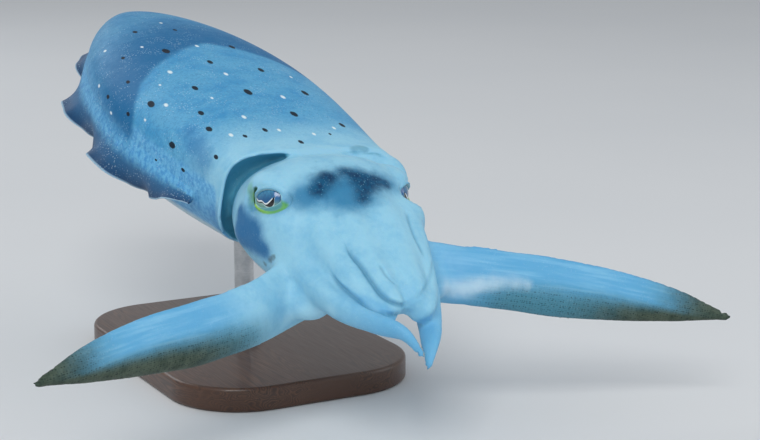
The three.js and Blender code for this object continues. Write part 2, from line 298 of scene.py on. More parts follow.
def combined(body: Object, tool: Object, operation: str, solver: str) -> None:
    """Join a tool to a body, or cut it away, and remove the tool."""
    step = body.modifiers.new("combined", "BOOLEAN")
    step.operation = operation
    step.solver = solver
    step.object = tool
    baked(body)
    bpy.data.objects.remove(tool)


def dressed(piece: Object, finish: Material) -> None:
    """Shade a piece smoothly and give it its one material."""
    piece.data.polygons.foreach_set("use_smooth", [True] * len(piece.data.polygons))
    piece.data.update()
    piece.data.materials.clear()
    piece.data.materials.append(finish)


def spots_of(mesh: Mesh) -> Array:
    """Return a mesh's vertices as an array."""
    places = np.empty(3 * len(mesh.vertices))
    mesh.vertices.foreach_get("co", places)
    return places.reshape(-1, 3)


def triangles_of(mesh: Mesh) -> int:
    """Return how many triangles a mesh has."""
    return sum(len(face.vertices) - 2 for face in mesh.polygons)


def finer(bm: BMesh, chosen: Callable[[Array], Array]) -> None:
    """Split the edges of part of a bmesh in two.

    Args:
        bm: The bmesh.
        chosen: Takes the vertices' places and returns which of them lie in that part.
    """
    bm.verts.ensure_lookup_table()
    places = np.array([vertex.co[:] for vertex in bm.verts])
    inside = chosen(places)
    bm.verts.index_update()
    edges = [edge for edge in bm.edges if inside[edge.verts[0].index] and inside[edge.verts[1].index]]
    bmesh.ops.subdivide_edges(bm, edges=edges, cuts=1, use_grid_fill=True)


def soften(bm: BMesh, chosen: Callable[[Array], Array], rounds: int) -> None:
    """Smooth the part of a bmesh that chosen picks, rounds times."""
    places = np.array([vertex.co[:] for vertex in bm.verts])
    inside = chosen(places)
    part = [vertex for vertex, wanted in zip(bm.verts, inside.tolist()) if wanted]
    for _ in range(rounds):
        bmesh.ops.smooth_vert(bm, verts=part, factor=0.5, use_axis_x=True, use_axis_y=True, use_axis_z=True)


# How the animal hangs, and from where it is seen


@dataclass(frozen=True)
class Carriage:
    """How the animal hangs over its base: turned head down, and banked a little to its left."""

    pitch: float = 14.8
    bank: float = 2.8
    height: float = 98.0
    balance: float = 66.0

    @property
    def turn(self) -> Array:
        """The turn from the animal's frame to the row's."""
        p, b = math.radians(self.pitch), math.radians(self.bank)
        about_x = np.array([[1, 0, 0], [0, math.cos(p), -math.sin(p)], [0, math.sin(p), math.cos(p)]])
        about_y = np.array([[math.cos(b), 0, math.sin(b)], [0, 1, 0], [-math.sin(b), 0, math.cos(b)]])
        return about_x @ about_y

    @property
    def place(self) -> Array:
        """Where the animal's origin is in the row's frame, in millimetres."""
        return np.array([0.0, -self.balance, self.height])

    def matrix(self) -> Matrix:
        """Return the move from the animal's frame in millimetres to the row's in metres."""
        turned = Matrix([Vector(row) for row in self.turn.tolist()]).to_4x4()
        return Matrix.Scale(0.001, 4) @ Matrix.Translation(Vector(self.place.tolist())) @ turned


@dataclass(frozen=True)
class Viewpoint:
    """The camera: its place in millimetres, its angles in degrees, and the frame's size in pixels."""

    place: Triple = (-375.3, -841.3, 268.4)
    azimuth: float = -28.4
    elevation: float = 12.0
    field_of_view: float = 23.4
    frame_width: int = 760
    frame_height: int = 440

    def axes(self) -> tuple[Array, Array, Array]:
        """Return the unit directions right, up and ahead."""
        a, e = math.radians(self.azimuth), math.radians(self.elevation)
        ahead = np.array([-math.sin(a) * math.cos(e), math.cos(a) * math.cos(e), -math.sin(e)])
        right = np.array([math.cos(a), math.sin(a), 0.0])
        return right, np.cross(right, ahead), ahead

    def ray(self, across: float, down: float) -> Array:
        """Return the direction in which a pixel of the frame looks."""
        right, up, ahead = self.axes()
        half = math.tan(math.radians(self.field_of_view) / 2) / (self.frame_width / 2)
        x = (across - self.frame_width / 2) * half
        y = (self.frame_height / 2 - down) * half
        return unit(ahead + x * right + y * up)

    def camera(self) -> None:
        """Make the scene's camera."""
        lens = bpy.data.cameras.new("camera")
        lens.sensor_fit = "HORIZONTAL"
        lens.angle = math.radians(self.field_of_view)
        lens.clip_start = 0.02
        lens.clip_end = 20.0
        made = bpy.data.objects.new("camera", lens)
        made.location = Vector(self.place) * 0.001
        made.rotation_euler = (math.radians(90 - self.elevation), 0.0, math.radians(self.azimuth))
        bpy.context.scene.collection.objects.link(made)
        bpy.context.scene.camera = made


# Marks on the skin, read from the photograph as pixels of its frame


class Mark(NamedTuple):
    """A mark's pixel, across and down, and its radius in millimetres."""

    across: float
    down: float
    size: float


def marked(*rows: Triple) -> tuple[Mark, ...]:
    """Return a mark for each row."""
    return tuple(Mark(*row) for row in rows)


class Crease(NamedTuple):
    """A fold's pixels, and in millimetres its depth and how far the skin on one side of it rises."""

    pixels: tuple[tuple[float, float], ...]
    depth: float
    lift: float


DARK_SPOTS = marked(
    (175, 30, 1.1), (135, 32, 1.3), (166, 51, 1.9), (123, 58, 1.0), (232, 47, 1.5), (210, 62, 1.4),
    (261, 70, 1.5), (195, 88, 1.4), (248, 92, 1.9), (305, 93, 1.7), (151, 104, 1.7), (128, 82, 1.0),
    (108, 97, 1.1), (128, 114, 1.0), (201, 113, 1.3), (294, 114, 1.7), (209, 129, 1.4), (265, 130, 1.2),
    (245, 136, 1.0), (342, 125, 1.4), (330, 134, 0.7), (301, 142, 1.2), (172, 145, 1.5), (216, 157, 1.0),
    (156, 160, 0.6), (183, 170, 0.9),
)
PALE_DOTS = marked(
    (161, 23, 1.0), (142, 47, 0.9), (105, 51, 1.0), (197, 46, 1.1), (170, 72, 1.3), (226, 74, 1.2),
    (99, 86, 1.0), (166, 105, 1.1), (212, 98, 0.8), (283, 97, 1.3), (291, 77, 0.9), (244, 117, 1.2),
    (231, 135, 1.1), (279, 130, 1.0), (314, 134, 1.0), (334, 128, 1.0), (111, 113, 0.9), (145, 120, 0.7),
    (160, 85, 0.7),
)
BLOTS = {
    "patch": marked(
        (322, 183, 7.0), (329, 176, 5.0), (317, 191, 4.5), (345, 171, 4.0), (358, 177, 6.5),
        (366, 188, 7.0), (374, 180, 6.0), (362, 200, 4.5), (386, 184, 4.0),
    ),
    "patch_edge": marked(
        (312, 192, 11.0), (340, 185, 14.0), (368, 186, 14.0), (390, 182, 8.0), (301, 200, 7.0),
        (350, 202, 9.0),
    ),
    # Painted shade on the lower cheek behind each eye, in soft dark blue blots
    "cheek": marked(
        (246, 220, 7.5), (238, 230, 7.0), (256, 228, 5.0), (245, 241, 6.5), (256, 246, 6.5),
        (265, 251, 4.5), (240, 211, 3.5),
    ),
    # Painted shadow in the notch where each broad arm meets the head
    "notch_shadow": marked((274, 257, 1.9), (270, 260, 2.1), (265, 264, 2.0), (260, 268, 2.0)),
    # Painted shade under the blunt middle point of the mantle's front edge
    "nape_shade": marked((353, 149, 2.6), (360, 147, 3.0), (366, 149, 2.2)),
    "web": marked(
        (446, 288, 5.5), (457, 290, 5.5), (469, 288, 5.0), (481, 285, 4.6), (493, 283, 4.2),
        (505, 282, 4.0), (517, 283, 3.6), (528, 284, 3.2),
    ),
    "right_web": marked((317, 312, 5.5), (303, 315, 5.0), (331, 310, 4.0), (288, 319, 4.0)),
    # Painted shade on the front and lower part of each flank of the mantle
    "flank_shade": marked(
        (192, 142, 7.0), (200, 152, 8.0), (188, 130, 5.0), (207, 166, 7.0), (214, 214, 10.0),
        (196, 205, 10.0), (222, 227, 8.0),
    ),
}
# The painted shade line of an uncarved crease behind each shoulder, in millimetres of the animal's frame
SHOULDER_CREASE = ((-34, 60, 25), (-44, 55, 20), (-51, 46, 14), (-53, 34, 9))
MIRRORED_BLOTS = ("cheek", "notch_shadow", "flank_shade")
# Folds of the bunched arms, carved into the skin and painted with shade in and under each one
CREASES = (
    Crease(
        ((343, 236), (350, 253), (362, 268), (372, 283), (383, 297), (395, 304), (405, 305), (413, 302)),
        1.0, 0.9,
    ),
    Crease(((325, 264), (337, 282), (354, 297), (371, 309), (388, 314), (401, 315), (413, 310)), 0.9, 0.6),
    Crease(((378, 262), (387, 276), (397, 285)), 0.5, 0.2),
    Crease(((412, 303), (424, 290), (431, 274), (433, 256)), 0.4, 0.3),
    Crease(((426, 262), (421, 250), (415, 238), (409, 222), (406, 209)), 0.6, 0.3),
)


# Solid shapes of the animal


# How far each fin droops at rest, how far its wave swings it and where the wave starts, in radians
FIN_REST = {Side.RIGHT: -1.28, Side.LEFT: -1.0}
FIN_SWING = {Side.RIGHT: 0.42, Side.LEFT: 0.5}
FIN_PHASE = {Side.RIGHT: 0.68, Side.LEFT: 0.9}


@dataclass
class Mantle:
    """The flattened pod behind the head, hollow at its front where the neck goes in, and its two fins."""

    length: float = 241.0
    half_width: float = 59.8
    back_height: float = 29.85
    belly_depth: float = 39.5
    widest_at: float = 0.4
    collar_depth: float = 6.5
    rim_thickness: float = 1.7
    flare: float = 1.3
    slant_ends: float = 0.28
    belly_square: float = 2.2
    around: int = 150
    rows: int = 130
    fin_width: float = 18.0
    fin_level: float = -4.0
    fin_waves: float = 3.6
    fin_root: float = 2.4
    fin_edge: float = 0.9

    def swell(self, t: Array | float, share: float, point: float) -> Array:
        """Return a share of the full size: share at the front, 1 at the widest place and 0 at the tail."""
        t = np.asarray(t, float)
        front = share + (1 - share) * np.sin(np.pi / 2 * np.minimum(t / self.widest_at, 1))
        rear = np.maximum(1 - ((t - self.widest_at) / (1 - self.widest_at)) ** 2, 0) ** point
        return np.where(t < self.widest_at, front, rear)

    def width_at(self, t: Array | float) -> Array:
        """Return half the width at a share of the length."""
        return self.half_width * self.swell(t, 0.735, 0.8) + self.lip(t)

    def lip(self, t: Array | float) -> Array:
        """Return how far the collar's free edge turns outwards."""
        return self.flare * np.exp(-np.maximum(np.asarray(t, float), 0) / 0.022)

    def above_at(self, t: Array | float) -> Array:
        """Return the height of the back at a share of the length."""
        return self.back_height * self.swell(t, 0.91, 0.58) + self.lip(t)

    def below_at(self, t: Array | float) -> Array:
        """Return the depth of the belly at a share of the length."""
        return self.belly_depth * self.swell(t, 0.77, 0.62)

    @staticmethod
    def square_at(t: Array | float) -> Array:
        """Return how square the upper shoulders are at a share of the length."""
        return 2.2 + 2.4 * np.exp(-np.maximum(np.asarray(t, float), 0) / 0.15)

    @staticmethod
    def collar_reach(s: Array) -> Array:
        """Return how far the free edge lies behind y = 0, for the sine s of the angle round the body."""
        return np.where(s > 0, -8 - 3 * s**4, -8 + 16 * s**2)

    def ring(self, t: float, inset: float = 0.0) -> Array:
        """Return one ring of the mantle, inset by a wall."""
        centre = np.array([0.0, t * self.length, 0.0])
        ring = oval(
            centre, SIDEWAYS, UPRIGHT, float(self.width_at(t)) - inset, float(self.above_at(t)) - inset,
            float(self.below_at(t)) - inset, self.around, (float(self.square_at(t)), self.belly_square),
        )
        angle = np.linspace(0, 2 * np.pi, self.around, endpoint=False)
        ring[:, 1] += max(0.0, 1 - t / self.slant_ends) ** 2 * self.collar_reach(np.sin(angle))
        return ring

    def pod(self, bm: BMesh) -> None:
        """Add the mantle: up the hollow's wall, over the rim and back along the outside to the tail."""
        floor = self.collar_depth / self.length
        inset = Profile(self.rim_thickness, 2.3, 3.6, 7.0, 16.4)
        rings = [self.ring(floor * 1.02, 22.0)]
        for share in np.linspace(1, 0, 22):
            rings.append(self.ring(floor * share, float(inset(share))))
        rings.append(self.ring(-0.003, self.rim_thickness * 0.72))
        rings.append(self.ring(-0.003, self.rim_thickness * 0.28))
        for share in np.linspace(0, 1, self.rows):
            t = math.sin(share * math.pi / 2) ** 1.25
            rings.append(self.ring(min(t, 0.9995)))
        sheathe(bm, np.array(rings))

    def fin_route(self, side: Side) -> Route:
        """Return the line along which a fin leaves the mantle."""
        stops = (0.06, 0.14, 0.25, 0.36, 0.5, 0.64, 0.76, 0.86, 0.93, 0.975, 0.992)
        return Route([(side.value * float(self.width_at(t)), t * self.length, self.fin_level) for t in stops])

    def fin_frame(self, side: Side, s: Array) -> tuple[Array, Array, Array, Array]:
        """Return a fin's roots, outward directions, widths and waves at shares s of its length."""
        route = self.fin_route(side)
        along = route.heading(s)
        outward = np.stack([along[:, 1], -along[:, 0], np.zeros(len(s))], axis=1) * side.value
        outward = units(outward)
        reach = self.fin_width * Profile(0.3, 0.9, 1, 1, 1, 0.95, 0.85, 0.7)(s)
        wave = FIN_SWING[side] * np.sin(2 * np.pi * self.fin_waves * s + FIN_PHASE[side])
        return route.at(s), outward, reach, wave

    def fin(self, bm: BMesh, side: Side, steps: int = 200, across: int = 11) -> None:
        """Add one waving fin, rounded along its edge."""
        s = np.linspace(0, 1, steps)
        root, outward, reach, wave = self.fin_frame(side, s)
        rings = []
        for k in range(steps):
            top, under = [], []
            for u in np.linspace(-0.3, 1.0, across):
                held = max(float(u), 0.0)
                ripple = 0.05 * math.sin(90 * s[k] + 2) * held**2
                lift = FIN_REST[side] + wave[k] * held + ripple
                thick = (self.fin_root + (self.fin_edge - self.fin_root) * held) / 2
                spine = root[k] + outward[k] * reach[k] * u * math.cos(lift)
                spine = spine + UPRIGHT * reach[k] * u * math.sin(lift)
                normal = UPRIGHT * math.cos(lift) - outward[k] * math.sin(lift)
                top.append(spine + normal * thick)
                under.insert(0, spine - normal * thick)
            tip = (top[-1] + under[0]) / 2 + outward[k] * 0.35
            rings.append([*top, tip, *under])
        sheathe(bm, np.array(rings))

    def fullness(self, places: Array) -> Array:
        """Return 1 on the mantle's outside, less inside it and more beyond it, for each place."""
        t = self.share_at(places)
        held = np.clip(t, 0, 0.995)
        square = np.where(places[:, 2] > 0, self.square_at(held), self.belly_square)
        height = np.where(places[:, 2] > 0, self.above_at(held), self.below_at(held))
        across = np.abs(places[:, 0]) / np.maximum(self.width_at(held), 0.5)
        full = (across**square + (np.abs(places[:, 2]) / np.maximum(height, 0.5)) ** square) ** (1 / square)
        return full + np.maximum(t - 0.995, 0) * 20

    def share_at(self, places: Array) -> Array:
        """Return the share of the mantle's length at each place, along its slanting rings."""
        rise = np.where(places[:, 2] > 0, places[:, 2] / self.back_height, places[:, 2] / self.belly_depth)
        t = places[:, 1] / self.length
        for _ in range(4):
            slant = np.clip(1 - t / self.slant_ends, 0, 1) ** 2 * self.collar_reach(np.clip(rise, -1, 1))
            t = (places[:, 1] - slant) / self.length
        return t


class Ellipse(NamedTuple):
    """An ellipse in the plane that an eye looks out of, in millimetres."""

    ahead: float
    up: float
    wide: float
    high: float

    def share(self, a: Array, b: Array) -> Array:
        """Return 1 along it and less inside it."""
        return np.hypot((a - self.ahead) / self.wide, (b - self.up) / self.high)


LIDS = Ellipse(1.0, 0.1, 6.7, 3.8)
LOWER_LID = Ellipse(0.7, -0.5, 8.4, 5.3)
LOWER_LID_SLANT = 0.25


@dataclass
class Eye:
    """One eye: its ball, and the lids that the skin makes round it, in the plane that it looks out of."""

    side: Side
    radius: float = 11.0
    centre: Triple = (27.6, -32.2, 13.4)
    gaze: Triple = (0.8, -0.42, 0.42)
    forward: Triple = (-0.58, -0.716, 0.389)
    shift: tuple[float, float] = (-1.7, -1.2)

    def __post_init__(self) -> None:
        """Work out the place and the three directions of the eye."""
        flip = np.array([self.side.value, 1, 1])
        self.middle = np.asarray(self.centre) * flip
        self.outward = unit(self.gaze) * flip
        ahead = np.asarray(self.forward) * flip
        self.ahead = unit(ahead - self.outward * float(ahead @ self.outward))
        self.upward = np.cross(self.outward, self.ahead) * -self.side.value

    def plane(self, places: Array) -> tuple[Array, Array, Array]:
        """Return how far each place lies ahead and up from the lids' middle, and out from the ball's."""
        offset = places - self.middle
        a, b = offset @ self.ahead - self.shift[0], offset @ self.upward - self.shift[1]
        return a, b, offset @ self.outward

    @staticmethod
    def cleft(a: Array, b: Array) -> Array:
        """Return the distance from the narrow cleft behind the eye, in millimetres."""
        line = np.interp(b, [-1.5, 0.2, 2.0, 3.8, 5.5, 8.0], [-6.9, -7.2, -7.1, -6.3, -5.2, -5.0])
        beyond = np.maximum(b - 5.0, 0) + np.maximum(-0.5 - b, 0)
        return np.hypot(a - line, beyond)

    def sculpt(self, places: Array) -> Array:
        """Shape the skin round the eye: a pit under the ball, the lids, and the cleft behind them.

        Args:
            places: The skin's vertices.

        Returns:
            The moved vertices.
        """
        a, b, out = self.plane(places)
        near = (out > 2.0) & (np.hypot(a, b) < 17.0)
        a, b, out = a[near], b[near], out[near]
        ball = np.sqrt(np.maximum(self.radius**2 - (a + self.shift[0]) ** 2 - (b + self.shift[1]) ** 2, 4.0))
        edge = LIDS.share(a, b)
        fold = LOWER_LID.share(a, b + LOWER_LID_SLANT * a)
        low = ease(b, 3.0, -0.5)
        height = ball - 1.6 + 2.2 * ease(edge, 0.94, 1.08)
        height += 0.35 * ease(edge, 1.05, 1.3)
        height += 0.75 * hump(fold, 1.0, 0.09) * low
        height += 0.9 * hump(edge, 1.2, 0.17) * ease(b, 0.5, 3.5)
        share = ease(fold, 1.9, 1.12) * ease(edge, 2.3, 1.35)
        share = np.maximum(share, ease(edge, 1.25, 1.1))
        shaped = out + (height - out) * share
        shaped -= 1.1 * hump(self.cleft(a, b), 0.0, 0.55)
        shaped += 0.35 * hump(self.cleft(a, b), 1.5, 0.6) * ease(b, -1.0, 2.0)
        moved = places.copy()
        moved[near] += np.outer(shaped - out, self.outward)
        return moved

    def ball(self) -> Object:
        """Make the eyeball, its poles on the line of sight, with its own coordinates for the iris."""
        bm = bmesh.new()
        bmesh.ops.create_uvsphere(bm, u_segments=112, v_segments=72, radius=self.radius - 0.05)
        turn = Matrix([Vector(row) for row in np.stack([self.ahead, self.upward, self.outward]).T.tolist()])
        move = Matrix.Translation(Vector(self.middle.tolist())) @ turn.to_4x4()
        bmesh.ops.transform(bm, matrix=move, verts=bm.verts)
        made = settled(bm, f"eye_{self.side.name.lower()}_ball")
        places = spots_of(made.data)
        a, b, out = self.plane(places)
        store(made.data, "eye_ahead", np.where(out > 0, a, FAR_AWAY))
        store(made.data, "eye_up", np.where(out > 0, b, FAR_AWAY))
        return made


# The left eye looks further ahead than the right one
LEFT_GAZE = (0.66, -0.62, 0.42)


@dataclass
class Head:
    """The broad head, flat on top and narrowing to the arms, with a brow and a cheek round each eye."""

    back: float = 22.0
    length: float = 78.0
    width: Profile = Profile(20, 27, 36, 41, 43, 42, 38, 31, 20)
    above: Profile = Profile(12, 15, 20.5, 27.5, 31, 30, 26, 21, 13)
    below: Profile = Profile(20, 24, 26, 27, 27, 27, 24, 20, 13)
    drop: Profile = Profile(0, 0, 0, 0, 0, -0.5, -3, -6, -8)
    rows: int = 60
    around: int = 96
    square: float = 2.3
    # Swellings, each with its half sizes and its place: first those by each eye, then those on one side only
    paired: tuple[tuple[Triple, Triple], ...] = (
        ((12.7, 15.6, 12.3), (29.1, -29.4, 13.8)),
        ((11.5, 14, 10.5), (32.5, -27.0, -4.0)),
        ((8, 12, 9), (30.5, -45.0, 7.0)),
    )
    single: tuple[tuple[Triple, Triple], ...] = (
        ((11.5, 12, 11.5), (28.0, -50.0, 8.5)),
        ((14.8, 13, 17.2), (28.0, -7.5, 7.8)),
        ((9.5, 13, 11.5), (40.0, -11.0, 11.0)),
        ((13, 16, 10), (-26, -66, -18)),
        ((13, 16, 9), (31, -69, -13)),
    )
    eyes: tuple[Eye, Eye] = field(default_factory=lambda: (Eye(Side.RIGHT), Eye(Side.LEFT, gaze=LEFT_GAZE)))

    def build(self, bm: BMesh) -> None:
        """Add the head's tube, and the brows and cheeks that swell from it."""
        rings = []
        for t in np.linspace(0, 1, self.rows):
            centre = np.array([0.0, self.back - t * (self.length + self.back), float(self.drop(t))])
            sizes = (float(self.width(t)), float(self.above(t)), float(self.below(t)))
            rings.append(oval(centre, SIDEWAYS, UPRIGHT, *sizes, self.around, self.square))
        sheathe(bm, np.array(rings))
        for side in Side:
            for radii, (x, y, z) in self.paired:
                egg(bm, radii, (side.value * x, y, z))
        for radii, centre in self.single:
            egg(bm, radii, centre)


@dataclass
class Arm:
    """One arm: a tapering tube along a route, with a keel on its upper edge."""

    pair: int
    side: Side
    route: Route
    keel: Triple
    width: Profile
    above: Profile
    below: Profile
    pinch: float
    rows: int = 84
    around: int = 44

    @property
    def low(self) -> bool:
        """Whether it is one of the two lower pairs."""
        return self.pair >= 3

    @property
    def broad(self) -> bool:
        """Whether it is one of the lowest pair, which is the broadest."""
        return self.pair == 4

    def frames(self, t: Array) -> tuple[Array, Array, Array, Array]:
        """Return the centres and the directions along, across and up at shares t of the length."""
        along = self.route.heading(t)
        across = units(np.cross(along, np.asarray(self.keel)))
        return self.route.at(t), along, across, np.cross(across, along)

    def build(self, bm: BMesh) -> None:
        """Add the arm."""
        t = np.linspace(0, 1, self.rows)
        centres, _, across, up = self.frames(t)
        widths, above, below = self.width(t), self.above(t), self.below(t)
        rings = [
            oval(centres[k], across[k], up[k], widths[k], above[k], below[k], self.around, 2.0, self.pinch)
            for k in range(self.rows)
        ]
        sheathe(bm, np.array(rings))


def first_pair(side: Side) -> Arm:
    """Return a first arm. These lie side by side over the others, and curl under in front."""
    right = ((6.5, -46, 17), (6.5, -66, 11.5), (6, -84, 5), (5.2, -98, 0.5))
    right_curl = ((4.4, -106.5, -4), (4.6, -106, -8), (5.2, -100, -9.5))
    left = ((10.5, -46, 17), (10.8, -66, 11.5), (10, -84, 5), (8.6, -98, 0.5))
    left_curl = ((7, -105, -4), (6.4, -104, -7.5), (6.2, -98, -9))
    slim = side is Side.RIGHT
    return Arm(
        1, side, mirrored_route(right + right_curl if slim else left + left_curl, side), (0, -0.6, 1),
        Profile(7, 7, 6.7, 6.3, 5.6, 4.4, 1.8) if slim else Profile(10.5, 10.6, 9.8, 8.6, 7, 5, 1.8),
        Profile(9, 8.5, 7.5, 6.8, 5.8, 4.4, 1.8), Profile(9, 8.5, 7.5, 6, 5, 3.8, 1.8), 0.0,
    )


def second_pair(side: Side) -> Arm:
    """Return a second arm. These lie outside the first, and curl under with them."""
    right = ((19.5, -44, 11), (19.5, -64, 7), (17, -83, 1.5), (13.5, -99, -4))
    right_curl = ((9.5, -110.5, -8), (7.5, -110, -12), (8.5, -103, -13))
    left = ((24, -44, 12), (24.5, -64, 8), (21.5, -82, 1), (17.5, -97, -5))
    left_curl = ((11.5, -107.5, -7), (8.5, -107, -10.5), (9.5, -100.5, -11.5))
    return Arm(
        2, side, mirrored_route(right + right_curl if side is Side.RIGHT else left + left_curl, side),
        (side.value * 0.4, -0.6, 1), Profile(9, 8, 7.2, 6.2, 5.4, 4.2, 1.8),
        Profile(9, 8.5, 7.5, 6.8, 5.8, 4.4, 1.8), Profile(9, 8.5, 7.5, 6, 5, 3.8, 1.8), 0.0,
    )


def third_pair(side: Side) -> Arm:
    """Return a third arm. These droop forward until their tips meet in front."""
    right = ((25, -48, -6), (26, -76, -9), (23, -96, -9.5), (16, -113, -8), (9, -126, -7), (3, -135, -14))
    left = ((25, -48, -6), (26, -74, -9), (21, -94, -14), (14, -112, -17), (8, -123, -18), (2.5, -132, -22))
    return Arm(
        3, side, mirrored_route(right if side is Side.RIGHT else left, side), (side.value * 0.9, 0.2, 1),
        Profile(8, 7, 6, 5, 3.6, 1.2), Profile(11, 11, 9, 7, 5, 1.3), Profile(11, 11, 8.5, 6, 5, 1.3), 0.2,
    )


def fourth_pair(side: Side) -> Arm:
    """Return a fourth arm. These are the broadest, and are spread to the sides."""
    right = ((20, -52, -17), (55, -74, -19), (84, -84, -20), (112, -93, -19.5), (167, -115, -20))
    slim = side is Side.RIGHT
    roots = (19, 17, 15.6) if slim else (17, 15.6, 15.2)
    left = ((20, -52, -13), (52, -76, -8), (80, -88, -8), (110, -99, -10), (172, -125, -16.1))
    return Arm(
        4, side, mirrored_route(right if slim else left, side), (0, 0.4, 1),
        Profile(9, 7.6, 6.7, 5.8, 4.8, 3.5, 1.5), Profile(15, 13.7, 12.8, 11.9, 10.8, 7.8, 1.5),
        Profile(*roots, 15.2, 12.4, 7.4, 1.5), 0.42,
    )


def petal() -> Arm:
    """Return the flesh that fills the valleys between the bunched arms."""
    route = Route(((1, -44, 14), (1, -64, 9), (1, -82, 2.5), (1.5, -96, -2.5), (2.5, -105, -8)))
    width, above, below = Profile(19, 18, 15, 13, 8), Profile(9, 8.8, 8, 7, 4.5), Profile(8, 8, 7, 6, 4)
    return Arm(0, Side.LEFT, route, (0, -0.6, 1), width, above, below, 0.0)


def mirrored_route(points: Iterable[Triple], side: Side) -> Route:
    """Return a route through points that are given for the animal's left."""
    return Route([(side.value * x, y, z) for x, y, z in points])


@dataclass
class Funnel:
    """The jet's nozzle under the head, with its mouth open."""

    around: int = 40
    bore_depth: float = 12.0

    def build(self, bm: BMesh) -> None:
        """Add the nozzle: out along its bore, round its lip and back along its outside."""
        route = Route([(0, 8, -26), (0, -14, -32), (0, -34, -34)])
        width, height = Profile(15, 10.8, 6.5), Profile(6, 5.5, 5)
        rings = []
        for share in np.linspace(0, 1, 12):
            t = 1 - self.bore_depth / route.length * (1 - share)
            rings.append(self.ring(route, t, 2 + 2.9 * share, 1.5 + 2.0 * share))
        for t in np.linspace(1, 0, 40):
            rings.append(self.ring(route, float(t), float(width(t)), float(height(t))))
        sheathe(bm, np.array(rings))

    def ring(self, route: Route, t: float, width: float, height: float) -> Array:
        """Return one ring of the nozzle."""
        along = route.heading(t)[0]
        up = unit(np.cross(SIDEWAYS, along))
        return oval(route.at(t)[0], SIDEWAYS, up, width, height, height, self.around)


# Node craft


def store(mesh: Mesh, name: str, values: Array) -> None:
    """Keep one number for each vertex of a mesh as an attribute."""
    kept = mesh.attributes.new(name, "FLOAT", "POINT")
    kept.data.foreach_set("value", np.asarray(values, dtype=np.float32))


Feed = object


class Wiring:
    """A node tree that is wired in a few plain calls."""

    def __init__(self, tree: NodeTree) -> None:
        """Take an empty tree."""
        self.tree = tree

    def add(self, kind: str, feeds: dict[int | str, Feed] | None = None, **settings: Feed) -> Node:
        """Add a node.

        Args:
            kind: The node's type.
            feeds: A socket or a value for each input.
            settings: The node's own settings.

        Returns:
            The node.
        """
        node = self.tree.nodes.new(kind)
        for name, value in settings.items():
            setattr(node, name, value)
        for key, value in (feeds or {}).items():
            self.fill(node.inputs[key], value)
        return node

    def fill(self, socket: NodeSocket, value: Feed) -> None:
        """Wire a socket to an input, or set a plain value on it."""
        if isinstance(value, NodeSocket):
            self.tree.links.new(value, socket)
        else:
            socket.default_value = value

    def maths(self, operation: str, *feeds: Feed) -> NodeSocket:
        """Return the result of a sum on one, two or three numbers."""
        return self.add("ShaderNodeMath", dict(enumerate(feeds)), operation=operation).outputs[0]

    def times(self, *feeds: Feed) -> NodeSocket:
        """Return the product of two numbers."""
        return self.maths("MULTIPLY", *feeds)

    def plus(self, *feeds: Feed) -> NodeSocket:
        """Return the sum of two numbers."""
        return self.maths("ADD", *feeds)

    def less(self, *feeds: Feed) -> NodeSocket:
        """Return the first number less the second."""
        return self.maths("SUBTRACT", *feeds)

    def step(self, value: Feed, low: float, high: float, top: float = 1.0) -> NodeSocket:
        """Return a smooth rise from 0 to top as value goes from low to high."""
        backwards = high < low
        ends = (high, low) if backwards else (low, high)
        feeds = {0: value, 1: ends[0], 2: ends[1], 3: top if backwards else 0.0, 4: 0.0 if backwards else top}
        return self.add("ShaderNodeMapRange", feeds, interpolation_type="SMOOTHSTEP", clamp=True).outputs[0]

    def rise(self, value: Feed, given: Node) -> NodeSocket:
        """Return a smooth rise from 0 to 1 between the ends that a group is given."""
        feeds = {0: value, 1: given.outputs["Low"], 2: given.outputs["High"], 3: 0.0, 4: 1.0}
        return self.add("ShaderNodeMapRange", feeds, interpolation_type="SMOOTHSTEP").outputs[0]

    def blend(self, share: Feed, under: Feed, over: Feed) -> NodeSocket:
        """Return a mix of two colours."""
        return self.add("ShaderNodeMix", {0: share, 6: under, 7: over}, data_type="RGBA").outputs[2]

    def attribute(self, name: str) -> NodeSocket:
        """Return a number that the mesh keeps."""
        return self.add("ShaderNodeAttribute", attribute_name=name).outputs["Fac"]

    def place(self) -> NodeSocket:
        """Return the place on the object, in metres."""
        return self.add("ShaderNodeTexCoord").outputs["Object"]

    def stretched(self, scale: Triple) -> NodeSocket:
        """Return the place on the object, scaled along each axis."""
        return self.add("ShaderNodeMapping", {"Vector": self.place(), "Scale": scale}).outputs[0]

    def noise(self, place: Feed, scale: Feed, detail: float = 2.0, rough: float = 0.5) -> NodeSocket:
        """Return a cloudy pattern, from 0 to 1."""
        feeds = {"Vector": place, "Scale": scale, "Detail": detail, "Roughness": rough}
        return self.add("ShaderNodeTexNoise", feeds, noise_dimensions="3D").outputs["Fac"]

    def cells(self, place: Feed, scale: float, randomness: float = 1.0) -> NodeSocket:
        """Return the distance from the middle of the nearest of many cells."""
        feeds = {"Vector": place, "Scale": scale, "Randomness": randomness}
        return self.add("ShaderNodeTexVoronoi", feeds, feature="F1").outputs["Distance"]

    def bump(self, height: Feed, distance: float, strength: float) -> NodeSocket:
        """Return a normal that is tilted by a height."""
        feeds = {"Height": height, "Distance": distance, "Strength": strength}
        return self.add("ShaderNodeBump", feeds).outputs["Normal"]


def colour(red: int, green: int, blue: int) -> tuple[float, float, float, float]:
    """Return a screen colour, from 0 to 255, as a shader's colour."""

    def linear(value: int) -> float:
        """Undo the screen's curve."""
        share = value / 255
        return share / 12.92 if share <= 0.04045 else ((share + 0.055) / 1.055) ** 2.4

    return (linear(red), linear(green), linear(blue), 1.0)


